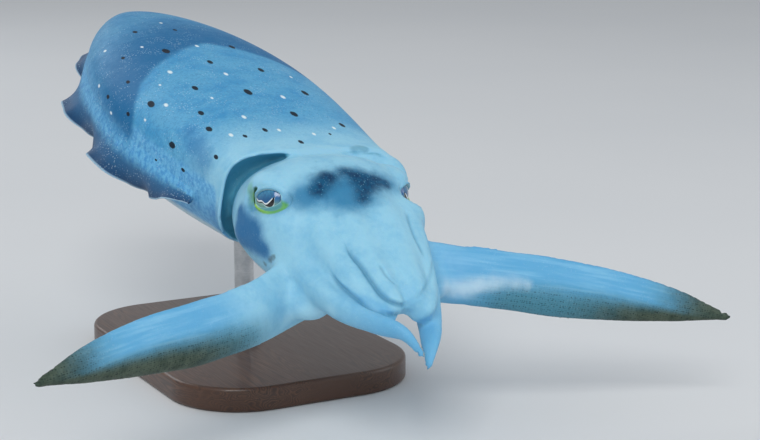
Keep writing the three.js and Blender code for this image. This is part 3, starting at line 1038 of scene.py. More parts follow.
def shared_group(name: str, inputs: dict[str, tuple[str, Feed]], outputs: dict[str, str]) -> tuple:
    """Start a shader node group.

    Args:
        name: Its name.
        inputs: A socket type and a first value for each input.
        outputs: A socket type for each output.

    Returns:
        The group, its wiring, its input node and its output node.
    """
    group = bpy.data.node_groups.new(name, "ShaderNodeTree")
    for label, (kind, value) in inputs.items():
        socket = group.interface.new_socket(label, in_out="INPUT", socket_type=kind)
        if value is not None:
            socket.default_value = value
    for label, kind in outputs.items():
        group.interface.new_socket(label, in_out="OUTPUT", socket_type=kind)
    wiring = Wiring(group)
    return group, wiring, wiring.add("NodeGroupInput"), wiring.add("NodeGroupOutput")


NUMBER = "NodeSocketFloat"
COLOUR = "NodeSocketColor"
VECTOR = "NodeSocketVector"


def mottle_group() -> NodeTree:
    """Build the mottle: two colours in soft clouds, broken up by a finer cloud."""
    group, w, given, out = shared_group(
        "mottle",
        {
            "Place": (VECTOR, None), "First": (COLOUR, (0.5, 0.5, 0.5, 1)),
            "Second": (COLOUR, (0.2, 0.2, 0.2, 1)), "Scale": (NUMBER, 60.0), "Low": (NUMBER, 0.35),
            "High": (NUMBER, 0.65),
        },
        {"Colour": COLOUR, "Share": NUMBER},
    )
    place, scale = given.outputs["Place"], given.outputs["Scale"]
    broad = w.noise(place, scale, 3.0, 0.55)
    fine = w.noise(place, w.times(scale, 5.3), 2.0, 0.6)
    both = w.plus(w.times(broad, 0.72), w.times(fine, 0.28))
    share = w.rise(both, given)
    w.fill(out.inputs["Colour"], w.blend(share, given.outputs["First"], given.outputs["Second"]))
    w.fill(out.inputs["Share"], share)
    return group


def zone_group() -> NodeTree:
    """Build the zone: a colour laid where a mask is high, with a ragged edge; by zone, the colour is pigment,
    painted shade or a painted highlight.
    """
    group, w, given, out = shared_group(
        "pigment_and_painted_light_zone",
        {
            "Under": (COLOUR, (0.5, 0.5, 0.5, 1)), "Pigment": (COLOUR, (0.2, 0.2, 0.2, 1)),
            "Mask": (NUMBER, 0.0), "Ragged": (NUMBER, 0.5), "Raggedness": (NUMBER, 0.3),
            "Low": (NUMBER, 0.3), "High": (NUMBER, 0.7), "Strength": (NUMBER, 1.0),
        },
        {"Colour": COLOUR, "Share": NUMBER},
    )
    offset = w.times(w.less(given.outputs["Ragged"], 0.5), given.outputs["Raggedness"])
    rise = w.rise(w.plus(given.outputs["Mask"], offset), given)
    share = w.times(rise, given.outputs["Strength"])
    w.fill(out.inputs["Colour"], w.blend(share, given.outputs["Under"], given.outputs["Pigment"]))
    w.fill(out.inputs["Share"], share)
    return group


class Finish:
    """A material that is being made."""

    def __init__(self, name: str) -> None:
        """Start an empty material with one Principled shader."""
        self.material = bpy.data.materials.new(name)
        self.material.use_nodes = True
        tree = self.material.node_tree
        tree.nodes.clear()
        self.w = Wiring(tree)
        self.shader = self.w.add("ShaderNodeBsdfPrincipled")
        output = self.w.add("ShaderNodeOutputMaterial")
        tree.links.new(self.shader.outputs[0], output.inputs["Surface"])

    def feed(self, **sockets: Feed) -> None:
        """Set or wire the shader's inputs, with _ for a space in their names."""
        for name, value in sockets.items():
            self.w.fill(self.shader.inputs[name.replace("_", " ")], value)


@dataclass(frozen=True)
class Groups:
    """The node groups that the finishes share."""

    mottle: NodeTree
    zone: NodeTree

    def mottled(
        self, w: Wiring, place: Feed, first: Feed, second: Feed, scale: float, *ends: float
    ) -> tuple[NodeSocket, NodeSocket]:
        """Lay two colours in soft clouds, and return the colour and the second one's share."""
        feeds = {"Place": place, "First": first, "Second": second, "Scale": scale}
        feeds.update(zip(("Low", "High"), ends))
        return self.laid(w, self.mottle, feeds)

    def zoned(
        self, w: Wiring, under: Feed, pigment: Feed, mask: Feed, ragged: Feed, **values: float
    ) -> tuple[NodeSocket, NodeSocket]:
        """Lay one zone of pigment, painted shade or painted highlight, and return the colour and the zone's
        share.
        """
        feeds = {"Under": under, "Pigment": pigment, "Mask": mask, "Ragged": ragged}
        feeds.update((key.capitalize(), value) for key, value in values.items())
        return self.laid(w, self.zone, feeds)

    @staticmethod
    def laid(w: Wiring, group: NodeTree, feeds: dict[str, Feed]) -> tuple[NodeSocket, NodeSocket]:
        """Place a group, and return its colour and its share."""
        node = w.add("ShaderNodeGroup", feeds, node_tree=group)
        return node.outputs["Colour"], node.outputs["Share"]


@dataclass(frozen=True)
class Zone:
    """A zone of colour, pigment in most zones and painted shade or a painted highlight in some: the mask that
    it follows, its colour, and how its edge fades and tears.

    Where fine is set, the fine grain tears the edge, and elsewhere the broader cloud does.
    """

    mask: str
    tint: tuple
    raggedness: float = 0.3
    low: float = 0.3
    high: float = 0.7
    strength: float = 1.0
    fine: bool = False


BODY_ZONES = (
    Zone("belly", colour(190, 218, 232)),
    Zone("rear_band", colour(0, 104, 158), 0.5, 0.05, 1.05),
    # Painted shade on the front and lower part of each flank of the mantle
    Zone("flank_shade", colour(14, 106, 168), 1.5, 0.2, 1.5, 0.5),
    # Painted shade on the lower cheek behind each eye, in soft dark blue blots
    Zone("cheek", colour(0, 98, 156), 0.8, 0.0, 1.4, 0.9),
    Zone("patch_edge", colour(36, 122, 168), 0.8, 0.2, 1.9, 0.9),
)
EDGE_ZONES = (
    # Painted shadow in the notch where each broad arm meets the head
    Zone("notch_shadow", colour(66, 70, 60), 0.4, 0.35, 1.0, 0.6, fine=True),
    # The collar's inside: its own teal, laid darker than the outside, partly as painted shade in the hollow
    Zone("lining", colour(80, 156, 184), 0.2),
    # A painted highlight: a thin pale line along the collar's free edge
    Zone("rim", colour(150, 206, 232), 0.2, fine=True),
    # Painted shade under the blunt middle point of the mantle's front edge
    Zone("nape_shade", colour(84, 146, 172), 0.1, high=1.1, strength=0.6),
    Zone("blade", colour(88, 168, 216), low=0.0, high=1.0, strength=0.85),
    Zone("fin", colour(44, 98, 142), 0.25, 0.05, 0.5),
    Zone("fin", colour(30, 72, 112), 0.25, 0.45, 0.95, fine=True),
)
WEB_ZONES = (
    Zone("web", colour(206, 232, 246), 0.9, 0.1, 1.9, 0.8),
    Zone("right_web", colour(168, 220, 242), 0.4, 0.0, 1.5, 0.9),
)


@dataclass(frozen=True)
class SkinFinish:
    """Pale, luminous blue skin with its markings, and with painted shade and painted highlights."""

    groups: Groups
    pale: tuple = colour(150, 207, 232)
    mid: tuple = colour(92, 170, 212)
    deep: tuple = colour(62, 132, 182)

    def lay(self, w: Wiring, tint: Feed, zones: Sequence[Zone], cloud: Feed, grain: Feed) -> Feed:
        """Lay zones of pigment, painted shade and painted highlight one over the other."""
        for zone in zones:
            sizes = {key: getattr(zone, key) for key in ("raggedness", "low", "high", "strength")}
            torn_by = grain if zone.fine else cloud
            tint, _ = self.groups.zoned(w, tint, zone.tint, w.attribute(zone.mask), torn_by, **sizes)
        return tint

    def make(self) -> Material:
        """Build the material."""
        finish = Finish("skin")
        w, mottled = finish.w, self.groups.mottled
        place = w.place()
        cloud = w.noise(place, 190.0, 4.0, 0.6)
        grain = w.noise(place, 900.0, 2.0, 0.6)
        # The face is laid paler than the mantle's back: partly the skin's own tones, partly painted light,
        # the head lit brighter
        face, _ = mottled(w, place, self.pale, colour(130, 194, 226), 70.0, 0.4, 0.7)
        back, _ = mottled(w, place, self.mid, colour(56, 148, 202), 55.0, 0.38, 0.68)
        tint = w.blend(w.step(w.attribute("back"), 0.0, 1.0), face, back)
        fine = w.times(w.step(grain, 0.45, 0.66, 0.5), w.attribute("back"))
        tint = w.blend(fine, tint, self.deep)
        low_side, _ = mottled(w, place, colour(116, 192, 234), colour(72, 150, 212), 480.0, 0.4, 0.62)
        margin = w.attribute("margin")
        tint, _ = self.groups.zoned(w, tint, low_side, margin, cloud, raggedness=0.5, strength=0.8)
        tint = self.lay(w, tint, BODY_ZONES, cloud, grain)
        patch, _ = mottled(w, place, colour(0, 54, 92), colour(4, 84, 124), 300.0, 0.38, 0.64)
        ends = {"raggedness": 0.8, "low": 0.1, "high": 1.6}
        tint, patch_share = self.groups.zoned(w, tint, patch, w.attribute("patch"), cloud, **ends)
        tint = self.lay(w, tint, EDGE_ZONES, cloud, grain)
        fin_edge = w.step(w.attribute("fin"), 0.93, 0.99)
        tint = w.blend(w.times(fin_edge, 0.8), tint, colour(170, 206, 230))
        tint, olive = self.low_arms(w, tint, place, cloud)
        tint = self.lay(w, tint, WEB_ZONES, cloud, grain)
        tint = self.specks(w, tint, place, olive, patch_share)
        tint = self.eyelids(w, tint, grain)
        dark = w.step(w.plus(w.attribute("dark_spot"), w.times(grain, 0.25)), 1.25, 0.95)
        tint = w.blend(w.times(dark, 0.97), tint, colour(0, 12, 30))
        dot = w.step(w.attribute("pale_dot"), 1.15, 0.5)
        tint = w.blend(w.times(dot, 0.9), tint, colour(232, 246, 250))
        rough = w.plus(w.plus(0.42, w.times(cloud, 0.2)), w.times(dark, 0.08))
        pores = w.cells(place, 1100.0)
        wrinkle = w.noise(place, 420.0, 5.0, 0.65)
        height = w.plus(w.plus(w.times(pores, 0.35), wrinkle), w.times(dot, 0.9))
        finish.feed(
            Base_Color=tint, Roughness=rough, Normal=w.bump(height, 0.00028, 0.55), Subsurface_Weight=0.18,
            Subsurface_Radius=(0.35, 0.7, 1.0), Subsurface_Scale=0.0016, Specular_IOR_Level=0.22,
            Coat_Weight=0.05, Coat_Roughness=0.22,
        )
        return finish.material

    @staticmethod
    def specks(w: Wiring, tint: Feed, place: Feed, olive: Feed, patch_share: Feed) -> Feed:
        """Scatter pale specks, most on the back, and paint shade along the shoulder creases and in and under
        the arms' folds.
        """
        speck = w.step(w.cells(place, 760.0), 0.34, 0.12)
        where = w.times(speck, w.step(w.noise(place, 90.0), 0.4, 0.65))
        where = w.times(where, w.maths("MULTIPLY_ADD", w.attribute("back"), 0.75, 0.25))
        quiet = w.less(1.0, w.times(olive, 0.8))
        tint = w.blend(w.times(where, w.times(quiet, 0.42)), tint, colour(206, 232, 244))
        star = w.times(w.step(w.cells(place, 700.0), 0.24, 0.1), patch_share)
        tint = w.blend(w.times(star, 0.45), tint, colour(120, 186, 212))
        # Painted shade: a faint dark line where a crease behind each shoulder would be
        tint = w.blend(w.step(w.attribute("crease"), 1.0, 0.0, 0.35), tint, colour(48, 116, 164))
        # Painted shade in each fold of the bunched arms and on the side under it
        return w.blend(w.step(w.attribute("fold"), 0.04, 1.1, 0.6), tint, colour(58, 128, 164))

    def low_arms(self, w: Wiring, tint: Feed, place: Feed, cloud: Feed) -> tuple[Feed, Feed]:
        """Paint a pale sheen in streaks along the broad arms, darken their undersides teal, partly as painted
        shade, and colour their lower band and tip olive, with rows of small dark dots.
        """
        along = w.maths("DIVIDE", w.attribute("arm_along"), 1.3)
        up = w.maths("DIVIDE", w.attribute("arm_height"), 0.95)
        # A painted sheen: pale streaks along the broad arms
        drawn = w.add("ShaderNodeCombineXYZ", {0: w.times(along, 0.1), 1: up, 2: 0.0}).outputs[0]
        streak = w.times(w.step(w.noise(drawn, 0.45, 3.0), 0.4, 0.75, 0.5), w.attribute("blade"))
        tint = w.blend(streak, tint, colour(150, 208, 238))
        # The lower band of the broad arms: partly their own darker colour, partly painted shade on their
        # undersides
        low = w.attribute("low_band")
        ends = {"raggedness": 0.2, "low": 0.0}
        teal = colour(72, 132, 150)
        tint, _ = self.groups.zoned(w, tint, teal, low, cloud, high=1.05, strength=0.92, **ends)
        olive_tint, _ = self.groups.mottled(w, place, colour(52, 68, 56), colour(78, 92, 78), 160.0)
        tint, olive = self.groups.zoned(w, tint, olive_tint, w.attribute("olive"), cloud, high=1.0, **ends)
        grid = w.add("ShaderNodeCombineXYZ", {0: along, 1: up, 2: 0.0}).outputs[0]
        dots = w.step(w.cells(grid, 1.0, 0.4), 0.46, 0.2)
        lines = w.step(w.maths("SINE", w.times(w.attribute("arm_height"), 2.4)), -0.4, 0.9)
        dots = w.times(dots, w.maths("MULTIPLY_ADD", lines, 0.6, 0.4))
        on_olive = w.step(w.attribute("olive"), 0.1, 0.7, 0.75)
        spotted = w.maths("MAXIMUM", on_olive, w.step(low, 0.25, 0.8, 0.55))
        tint = w.blend(w.times(dots, spotted), tint, colour(20, 36, 36))
        return tint, olive

    def eyelids(self, w: Wiring, tint: Feed, grain: Feed) -> Feed:
        """Colour the lids: teal inside, a yellow-green fold below, painted shade round the lower lid, and a
        dark cleft behind, partly painted shade.
        """
        a, b = w.attribute("eye_ahead"), w.attribute("eye_up")
        edge = self.ellipse(w, a, b, LIDS)
        fold = self.ellipse(w, a, w.maths("MULTIPLY_ADD", a, LOWER_LID_SLANT, b), LOWER_LID)
        inner = w.times(w.step(fold, 1.0, 0.85), w.step(b, 4.0, 0.5))
        lining = w.blend(w.step(b, 1.5, -1.5), colour(48, 128, 172), colour(98, 160, 142))
        tint = w.blend(w.times(inner, 0.85), tint, lining)
        shade = w.times(w.step(fold, 1.75, 1.05), w.step(b, 5.0, -2.0, 0.3))
        tint = w.blend(shade, tint, colour(70, 140, 190))
        torn = w.plus(fold, w.times(w.less(grain, 0.5), 0.12))
        green = w.times(w.step(torn, 0.8, 0.96), w.step(torn, 1.27, 1.06))
        green = w.times(green, w.step(w.plus(b, w.times(a, 0.35)), 2.6, 0.2))
        yellow = w.blend(w.step(a, -7.0, 5.0), colour(158, 208, 66), colour(108, 178, 96))
        tint = w.blend(w.times(green, 0.95), tint, yellow)
        upper = w.times(w.step(edge, 1.5, 1.05), w.step(b, 1.0, 3.6))
        tint = w.blend(w.times(upper, 0.5), tint, colour(60, 128, 160))
        behind = w.times(w.step(w.maths("ABSOLUTE", w.plus(a, 8.6)), 3.0, 0.8), w.step(b, -3.0, 1.5))
        behind = w.times(behind, w.step(b, 11.0, 6.0, 0.6))
        tint = w.blend(w.times(behind, 0.8), tint, colour(122, 182, 120))
        # The carved cleft behind the eye, painted dark green, partly as shade
        slit = w.step(w.attribute("eye_cleft"), 1.9, 0.7)
        tint = w.blend(w.times(slit, 0.95), tint, colour(14, 84, 46))
        lip = w.times(w.step(edge, 1.16, 1.04), w.step(edge, 0.96, 1.02))
        return w.blend(w.times(lip, 0.6), tint, colour(176, 214, 214))

    @staticmethod
    def ellipse(w: Wiring, a: Feed, b: Feed, shape: Ellipse) -> Feed:
        """Return 1 along an ellipse and less inside it."""
        across = w.maths("DIVIDE", w.less(a, shape.ahead), shape.wide)
        rise = w.maths("DIVIDE", w.less(b, shape.up), shape.high)
        return w.maths("SQRT", w.plus(w.times(across, across), w.times(rise, rise)))


# The pupil's upper and lower edges, ahead and up in millimetres
PUPIL_TOP = (
    *((-6, 2.2), (-5.4, 1.2), (-4.6, 0.3), (-3.7, -0.3), (-1.6, -0.7)),
    *((0.4, -2.2), (2.6, -1.3), (4.1, 0), (6, 1.6)),
)
PUPIL_FOOT = (
    *((-6, 3), (-5.4, 0.8), (-4.7, -0.7), (-3.6, -1.2), (-1.3, -1.8)),
    *((0.6, -3.2), (2.6, -3.7), (4.3, -2.7), (5, 0), (6, 3)),
)


@dataclass(frozen=True)
class EyeFinish:
    """A wet eye: a bent black pupil outlined in white, under a blue flap of the iris."""

    reach: float = 6.0
    depth: float = 6.0

    def curve(self, w: Wiring, a: Feed, points: Sequence[tuple[float, float]]) -> Feed:
        """Return a height in millimetres as a smooth function of the distance ahead."""
        share = w.add("ShaderNodeMapRange", {0: a, 1: -self.reach, 2: self.reach, 3: 0.0, 4: 1.0}).outputs[0]
        node = w.add("ShaderNodeFloatCurve", {1: share})
        line = node.mapping.curves[0]
        while len(line.points) < len(points):
            line.points.new(0.5, 0.5)
        for point, (x, y) in zip(line.points, points):
            point.location = ((x + self.reach) / (2 * self.reach), (y + self.depth) / (2 * self.depth))
        node.mapping.update()
        return w.less(w.times(node.outputs[0], 2 * self.depth), self.depth)

    def make(self) -> Material:
        """Build the material."""
        finish = Finish("eyeball")
        w = finish.w
        place = w.place()
        a, b = w.attribute("eye_ahead"), w.attribute("eye_up")
        top, low = self.curve(w, a, PUPIL_TOP), self.curve(w, a, PUPIL_FOOT)
        under_top = w.less(top, b)
        over_low = w.less(b, low)
        grain = w.noise(place, 2600.0, 3.0, 0.6)
        streak = w.noise(place, 900.0, 4.0, 0.6)
        iris = w.blend(w.step(b, 4.5, -1.0), colour(72, 152, 190), colour(10, 88, 140))
        iris = w.blend(w.step(streak, 0.35, 0.7, 0.6), iris, colour(30, 84, 130))
        silver = w.blend(streak, colour(84, 138, 134), colour(126, 174, 160))
        beneath = w.step(over_low, 0.3, -0.1)
        tint = w.blend(beneath, iris, silver)
        ahead = w.step(a, 3.9, 5.2)
        tint = w.blend(w.times(ahead, w.step(b, -4.0, 0.5)), tint, colour(24, 100, 160))
        outline = w.step(w.maths("ABSOLUTE", w.less(under_top, 0.02)), 0.4, 0.2)
        outline = w.times(outline, w.step(w.maths("ABSOLUTE", w.plus(a, 0.8)), 5.1, 4.6))
        pupil = w.times(w.step(under_top, 0.05, 0.28), w.step(over_low, -0.05, 0.12))
        under = w.times(w.step(over_low, -0.75, -0.3), w.step(over_low, 0.12, -0.1))
        under = w.times(under, w.step(under_top, 0.0, 0.3))
        under = w.times(under, w.step(a, -4.5, 3.0))
        tint = w.blend(w.times(under, 0.8), tint, colour(216, 236, 240))
        tint = w.blend(pupil, tint, colour(2, 6, 10))
        tint = w.blend(w.times(outline, w.step(grain, 0.25, 0.5)), tint, colour(240, 250, 252))
        # Painted shade: the ball turns dark towards its edge, where it passes under the lids
        rim = w.step(w.maths("SQRT", w.plus(w.times(a, a), w.times(b, b))), 6.5, 8.5)
        tint = w.blend(rim, tint, colour(26, 58, 70))
        finish.feed(
            Base_Color=tint, Roughness=w.plus(0.12, w.times(streak, 0.1)),
            Normal=w.bump(streak, 0.0001, 0.3), Coat_Weight=1.0, Coat_Roughness=0.03, Coat_IOR=1.36,
        )
        return finish.material


@dataclass(frozen=True)
class SuckerFinish:
    """Pale cups with a warmer ring."""

    groups: Groups

    def make(self) -> Material:
        """Build the material."""
        finish = Finish("suckers")
        w = finish.w
        tint, share = self.groups.mottled(w, w.place(), colour(206, 216, 214), colour(168, 186, 186), 500.0)
        rough = w.plus(0.34, w.times(share, 0.16))
        finish.feed(Base_Color=tint, Roughness=rough, Subsurface_Weight=0.15, Subsurface_Scale=0.001)
        return finish.material


@dataclass(frozen=True)
class WoodFinish:
    """Dark, satin-varnished walnut with its grain along the base."""

    groups: Groups

    def make(self) -> Material:
        """Build the material."""
        finish = Finish("walnut")
        w = finish.w
        drawn = w.stretched((1.0, 0.09, 1.6))
        swirl = w.noise(drawn, 26.0, 3.0, 0.5)
        bent = w.add("ShaderNodeVectorMath", {0: drawn, 1: swirl}, operation="ADD").outputs[0]
        rings = w.add(
            "ShaderNodeTexWave",
            {"Vector": bent, "Scale": 26.0, "Distortion": 5.0, "Detail": 3.0, "Detail Scale": 1.4},
            wave_type="BANDS", bands_direction="X",
        ).outputs["Fac"]
        fibres = w.noise(w.stretched((1.0, 0.03, 1.0)), 1500.0, 3.0)
        tint = w.blend(rings, colour(92, 60, 40), colour(58, 36, 24))
        tint = w.blend(w.step(fibres, 0.45, 0.75, 0.55), tint, colour(36, 22, 15))
        tint, _ = self.groups.mottled(w, w.place(), tint, colour(74, 46, 30), 22.0)
        rough = w.plus(0.3, w.times(fibres, 0.22))
        height = w.plus(w.times(rings, 0.3), w.times(fibres, 0.7))
        finish.feed(
            Base_Color=tint, Roughness=rough, Normal=w.bump(height, 0.00012, 0.5), Coat_Weight=0.35,
            Coat_Roughness=0.18,
        )
        return finish.material


@dataclass(frozen=True)
class SteelFinish:
    """Brushed stainless steel, its brush marks running round the rod."""

    groups: Groups

    def make(self) -> Material:
        """Build the material."""
        finish = Finish("brushed_steel")
        w = finish.w
        marks = w.noise(w.stretched((0.06, 0.06, 1.0)), 5200.0, 3.0, 0.6)
        plain_steel, _ = self.groups.mottled(w, w.place(), colour(196, 198, 200), colour(176, 179, 182), 90.0)
        tint = w.blend(w.step(marks, 0.4, 0.7, 0.4), plain_steel, colour(150, 153, 157))
        finish.feed(
            Base_Color=tint, Metallic=1.0, Roughness=w.plus(0.24, w.times(marks, 0.16)),
            Normal=w.bump(marks, 0.00002, 0.35),
        )
        return finish.material


# The skin


@dataclass(frozen=True)
class Region:
    """A part of the skin, between two places along it, within a half width and above a level."""

    rounds: int
    front: float = -math.inf
    rear: float = math.inf
    half_width: float = math.inf
    floor: float = -math.inf

    def holds(self, p: Array) -> Array:
        """Return which places lie in it."""
        inside = (p[:, 1] < self.rear) & (p[:, 1] > self.front)
        return inside & (np.abs(p[:, 0]) < self.half_width) & (p[:, 2] > self.floor)


# Where the joined solids are smoothed, and how many times
SOFT_REGIONS = (Region(3), Region(3, -100, -6, 60), Region(16, -84, -40, 40, -8), Region(5, -92, -50, 52))


@dataclass
class Skin:
    """One skin over the whole animal, with its lids, folds and markings."""

    carriage: Carriage
    viewpoint: Viewpoint
    voxel: float = 1.52
    seed: int = 4285
    fold_reaches: tuple[float, ...] = (4.0, 2.4)
    eye_reaches: tuple[tuple[float, ...], ...] = ((2.0,), (1.75,), (1.3, 0.75))
    mark_margin: float = 1.6
    mark_tries: int = 900
    spot_spread: float = 15.0
    dot_spread: float = 17.0
    tip_radius: float = 0.9
    cap_from: float = 0.985
    mantle: Mantle = field(default_factory=Mantle)
    head: Head = field(default_factory=Head)
    funnel: Funnel = field(default_factory=Funnel)

    def __post_init__(self) -> None:
        """Gather the arms, and find the camera in the animal's frame."""
        pairs = (first_pair, second_pair, third_pair, fourth_pair)
        self.arms = [make(side) for make in pairs for side in Side]
        self.seen_from = (np.asarray(self.viewpoint.place) - self.carriage.place) @ self.carriage.turn

    def cast(self) -> Object:
        """Join the solid shapes in one closed skin, and add the thin fins to it."""
        bm = bmesh.new()
        self.mantle.pod(bm)
        self.head.build(bm)
        self.funnel.build(bm)
        for arm in (*self.arms, petal()):
            arm.build(bm)
        body = settled(bm, "skin")
        remesh = body.modifiers.new("one skin", "REMESH")
        remesh.mode = "VOXEL"
        remesh.voxel_size = self.voxel
        baked(body)
        self.relax(body)
        for side in Side:
            blade = bmesh.new()
            self.mantle.fin(blade, side)
            combined(body, settled(blade, "fin"), "UNION", "MANIFOLD")
        return body

    def relax(self, body: Object) -> None:
        """Smooth the joined solids, most where the arms leave the head."""
        bm = bmesh.new()
        bm.from_mesh(body.data)
        for region in SOFT_REGIONS:
            soften(bm, region.holds, region.rounds)
        bm.to_mesh(body.data)
        bm.free()

    def hit(self, tree: BVHTree, across: float, down: float) -> Array | None:
        """Return where a pixel's ray meets the skin and the skin's normal there, in the animal's frame."""
        direction = self.viewpoint.ray(across, down) @ self.carriage.turn
        found, normal, _, _ = tree.ray_cast(Vector(self.seen_from.tolist()), Vector(direction.tolist()))
        return None if found is None else np.array([*found, *normal])

    def blotted(self, tree: BVHTree, marks: Sequence[Mark], places: Array, mirrored: bool) -> Array:
        """Return how strongly soft blots cover each place.

        Args:
            tree: The skin's tree.
            marks: The blots.
            places: The skin's vertices.
            mirrored: Whether the animal's other side has them too.

        Returns:
            The sum of a bell for each blot.
        """
        total = np.zeros(len(places))
        for mark in marks:
            found = self.hit(tree, mark.across, mark.down)
            if found is None:
                continue
            total += hump(lengths(places - found[:3]), 0, mark.size)
            if mirrored:
                total += hump(lengths(places - found[:3] * (-1, 1, 1)), 0, mark.size)
        return total

    def traced(self, tree: BVHTree, crease: Crease) -> Array:
        """Return a fold's places on the skin and the skin's smoothed normals there, one row each."""
        pixels = Route([(across, down, 0) for across, down in crease.pixels])
        rows = [self.hit(tree, across, down) for across, down, _ in pixels.at(np.linspace(0, 1, 90))]
        kept = np.array([row for row in rows if row is not None])
        held = np.concatenate([kept[:1].repeat(4, axis=0), kept, kept[-1:].repeat(4, axis=0)])
        made = np.stack([np.convolve(held[:, k], np.full(9, 1 / 9), mode="valid") for k in range(6)], axis=1)
        made[:, 3:] = units(made[:, 3:])
        return made

    def marks(
        self, tree: BVHTree, wanted: Sequence[Mark], rng: np.random.Generator, spread: float
    ) -> Array:
        """Place marks where the photograph has them, and more like them on the far side of the back.

        Args:
            tree: The skin's tree.
            wanted: The marks that the photograph shows.
            rng: The seeded source of the others.
            spread: The least distance between two marks.

        Returns:
            One row a mark: its place and its radius.
        """
        found = []
        for mark in wanted:
            place = self.hit(tree, mark.across, mark.down)
            if place is not None:
                found.append([*place[:3], mark.size])
        for _ in range(self.mark_tries):
            x, y = rng.uniform(-58, 58), rng.uniform(4, 226)
            size = rng.uniform(0.8, 1.7)
            down, _, _, _ = tree.ray_cast(Vector((x, y, 80)), Vector((0, 0, -1)))
            if down is None or down.z < 2 or self.seen(tree, np.array(down)):
                continue
            if min(np.linalg.norm(np.array(down) - np.array(other[:3])) for other in found) > spread:
                found.append([*down, size])
        return np.array(found)

    def seen(self, tree: BVHTree, place: Array) -> bool:
        """Return whether the camera sees a place of the skin."""
        gap = place - self.seen_from
        reach = float(np.linalg.norm(gap))
        _, _, _, first = tree.ray_cast(Vector(self.seen_from.tolist()), Vector((gap / reach).tolist()))
        return first is None or first > reach - 2.5

    def build(self, finish: Material) -> Object:
        """Make the finished skin."""
        body = self.cast()
        log.info("skin cast: %d triangles", triangles_of(body.data))
        bm = bmesh.new()
        bm.from_mesh(body.data)
        tree = BVHTree.FromBMesh(bm)
        rng = np.random.default_rng(self.seed)
        dark = self.marks(tree, DARK_SPOTS, rng, self.spot_spread)
        pale = self.marks(tree, PALE_DOTS, rng, self.dot_spread)
        lines = [self.traced(tree, crease) for crease in CREASES]
        self.refine(bm, np.vstack([dark, pale]), np.vstack(lines))
        bmesh.ops.recalc_face_normals(bm, faces=bm.faces)
        bm.to_mesh(body.data)
        bm.free()
        places = spots_of(body.data)
        for eye in self.head.eyes:
            places = eye.sculpt(places)
        places = self.trued(places)
        for name, blots in BLOTS.items():
            store(body.data, name, self.blotted(tree, blots, places, name in MIRRORED_BLOTS))
        places, shade = self.fold(places, lines)
        # Painted shade in and under the folds
        store(body.data, "fold", shade)
        body.data.vertices.foreach_set("co", places.ravel())
        self.paint(body.data, places, dark, pale)
        body.data.transform(self.carriage.matrix())
        dressed(body, finish)
        log.info("skin finished: %d triangles", triangles_of(body.data))
        return body

    def refine(self, bm: BMesh, marks: Array, folds: Array) -> None:
        """Make the skin finer round the eyes, along the folds and under the marks."""

        def round_eyes(reach: float, low: float = 0.0) -> Callable[[Array], Array]:
            """Pick the skin in front of the eyes, by a share of the lids' opening."""

            def chosen(places: Array) -> Array:
                """Return which places lie there."""
                picked = np.zeros(len(places), bool)
                for eye in self.head.eyes:
                    a, b, out = eye.plane(places)
                    edge = LIDS.share(a, b)
                    picked |= (out > 4) & (edge < reach) & (edge > low)
                return picked

            return chosen

        def near(spots: Array, reaches: Array) -> Callable[[Array], Array]:
            """Pick the skin that is nearer than its reach to one of some spots."""

            def chosen(places: Array) -> Array:
                """Return which places lie there."""
                picked = np.zeros(len(places), bool)
                for spot, reach in zip(spots, reaches):
                    picked |= lengths(places - spot) < reach
                return picked

            return chosen

        along_folds = folds[::4, :3]
        for reach in self.fold_reaches:
            finer(bm, near(along_folds, np.full(len(along_folds), reach)))
        for limits in self.eye_reaches:
            finer(bm, round_eyes(*limits))
        finer(bm, near(marks[:, :3], marks[:, 3] + self.mark_margin))

    def trued(self, places: Array) -> Array:
        """Bring the free lengths of the lower arms back to their true surfaces, which smoothing blurred."""
        moved = places.copy()
        for arm in self.arms:
            if not arm.low:
                continue
            start = 0.34 if arm.broad else 0.66
            low, high = arm.route.places.min(axis=0) - 18, arm.route.places.max(axis=0) + 18
            part = np.flatnonzero(((places > low) & (places < high)).all(axis=1))
            t, _ = arm.route.nearest(places[part])
            _, along, _, _ = arm.frames(t)
            t = np.clip(t + ((places[part] - arm.route.at(t)) * along).sum(axis=1) / arm.route.length, 0, 1)
            centre, _, across, up = arm.frames(t)
            offset = places[part] - centre
            a, b = (offset * across).sum(axis=1), (offset * up).sum(axis=1)
            rise = b / np.where(b > 0, arm.above(t), arm.below(t))
            spread = a / (arm.width(t) * (1 - arm.pinch * np.clip(rise, 0, 1)))
            size = np.hypot(rise, spread)
            share = ease(t, start, start + 0.12) * (t < 0.995) * (size > 0.55) * (size < 1.6)
            factor = (1 / np.maximum(size, 0.3) - 1) * share
            moved[part] += across * (a * factor)[:, None] + up * (b * factor)[:, None]
            beyond = moved[part] - arm.route.places[-1]
            reach = lengths(beyond)
            cap = (t > self.cap_from) & (reach < 5) & (reach > self.tip_radius)
            drawn_in = (1 - self.tip_radius / reach[cap])[:, None] * ease(t[cap], self.cap_from, 1)[:, None]
            moved[part[cap]] -= beyond[cap] * drawn_in
        return moved

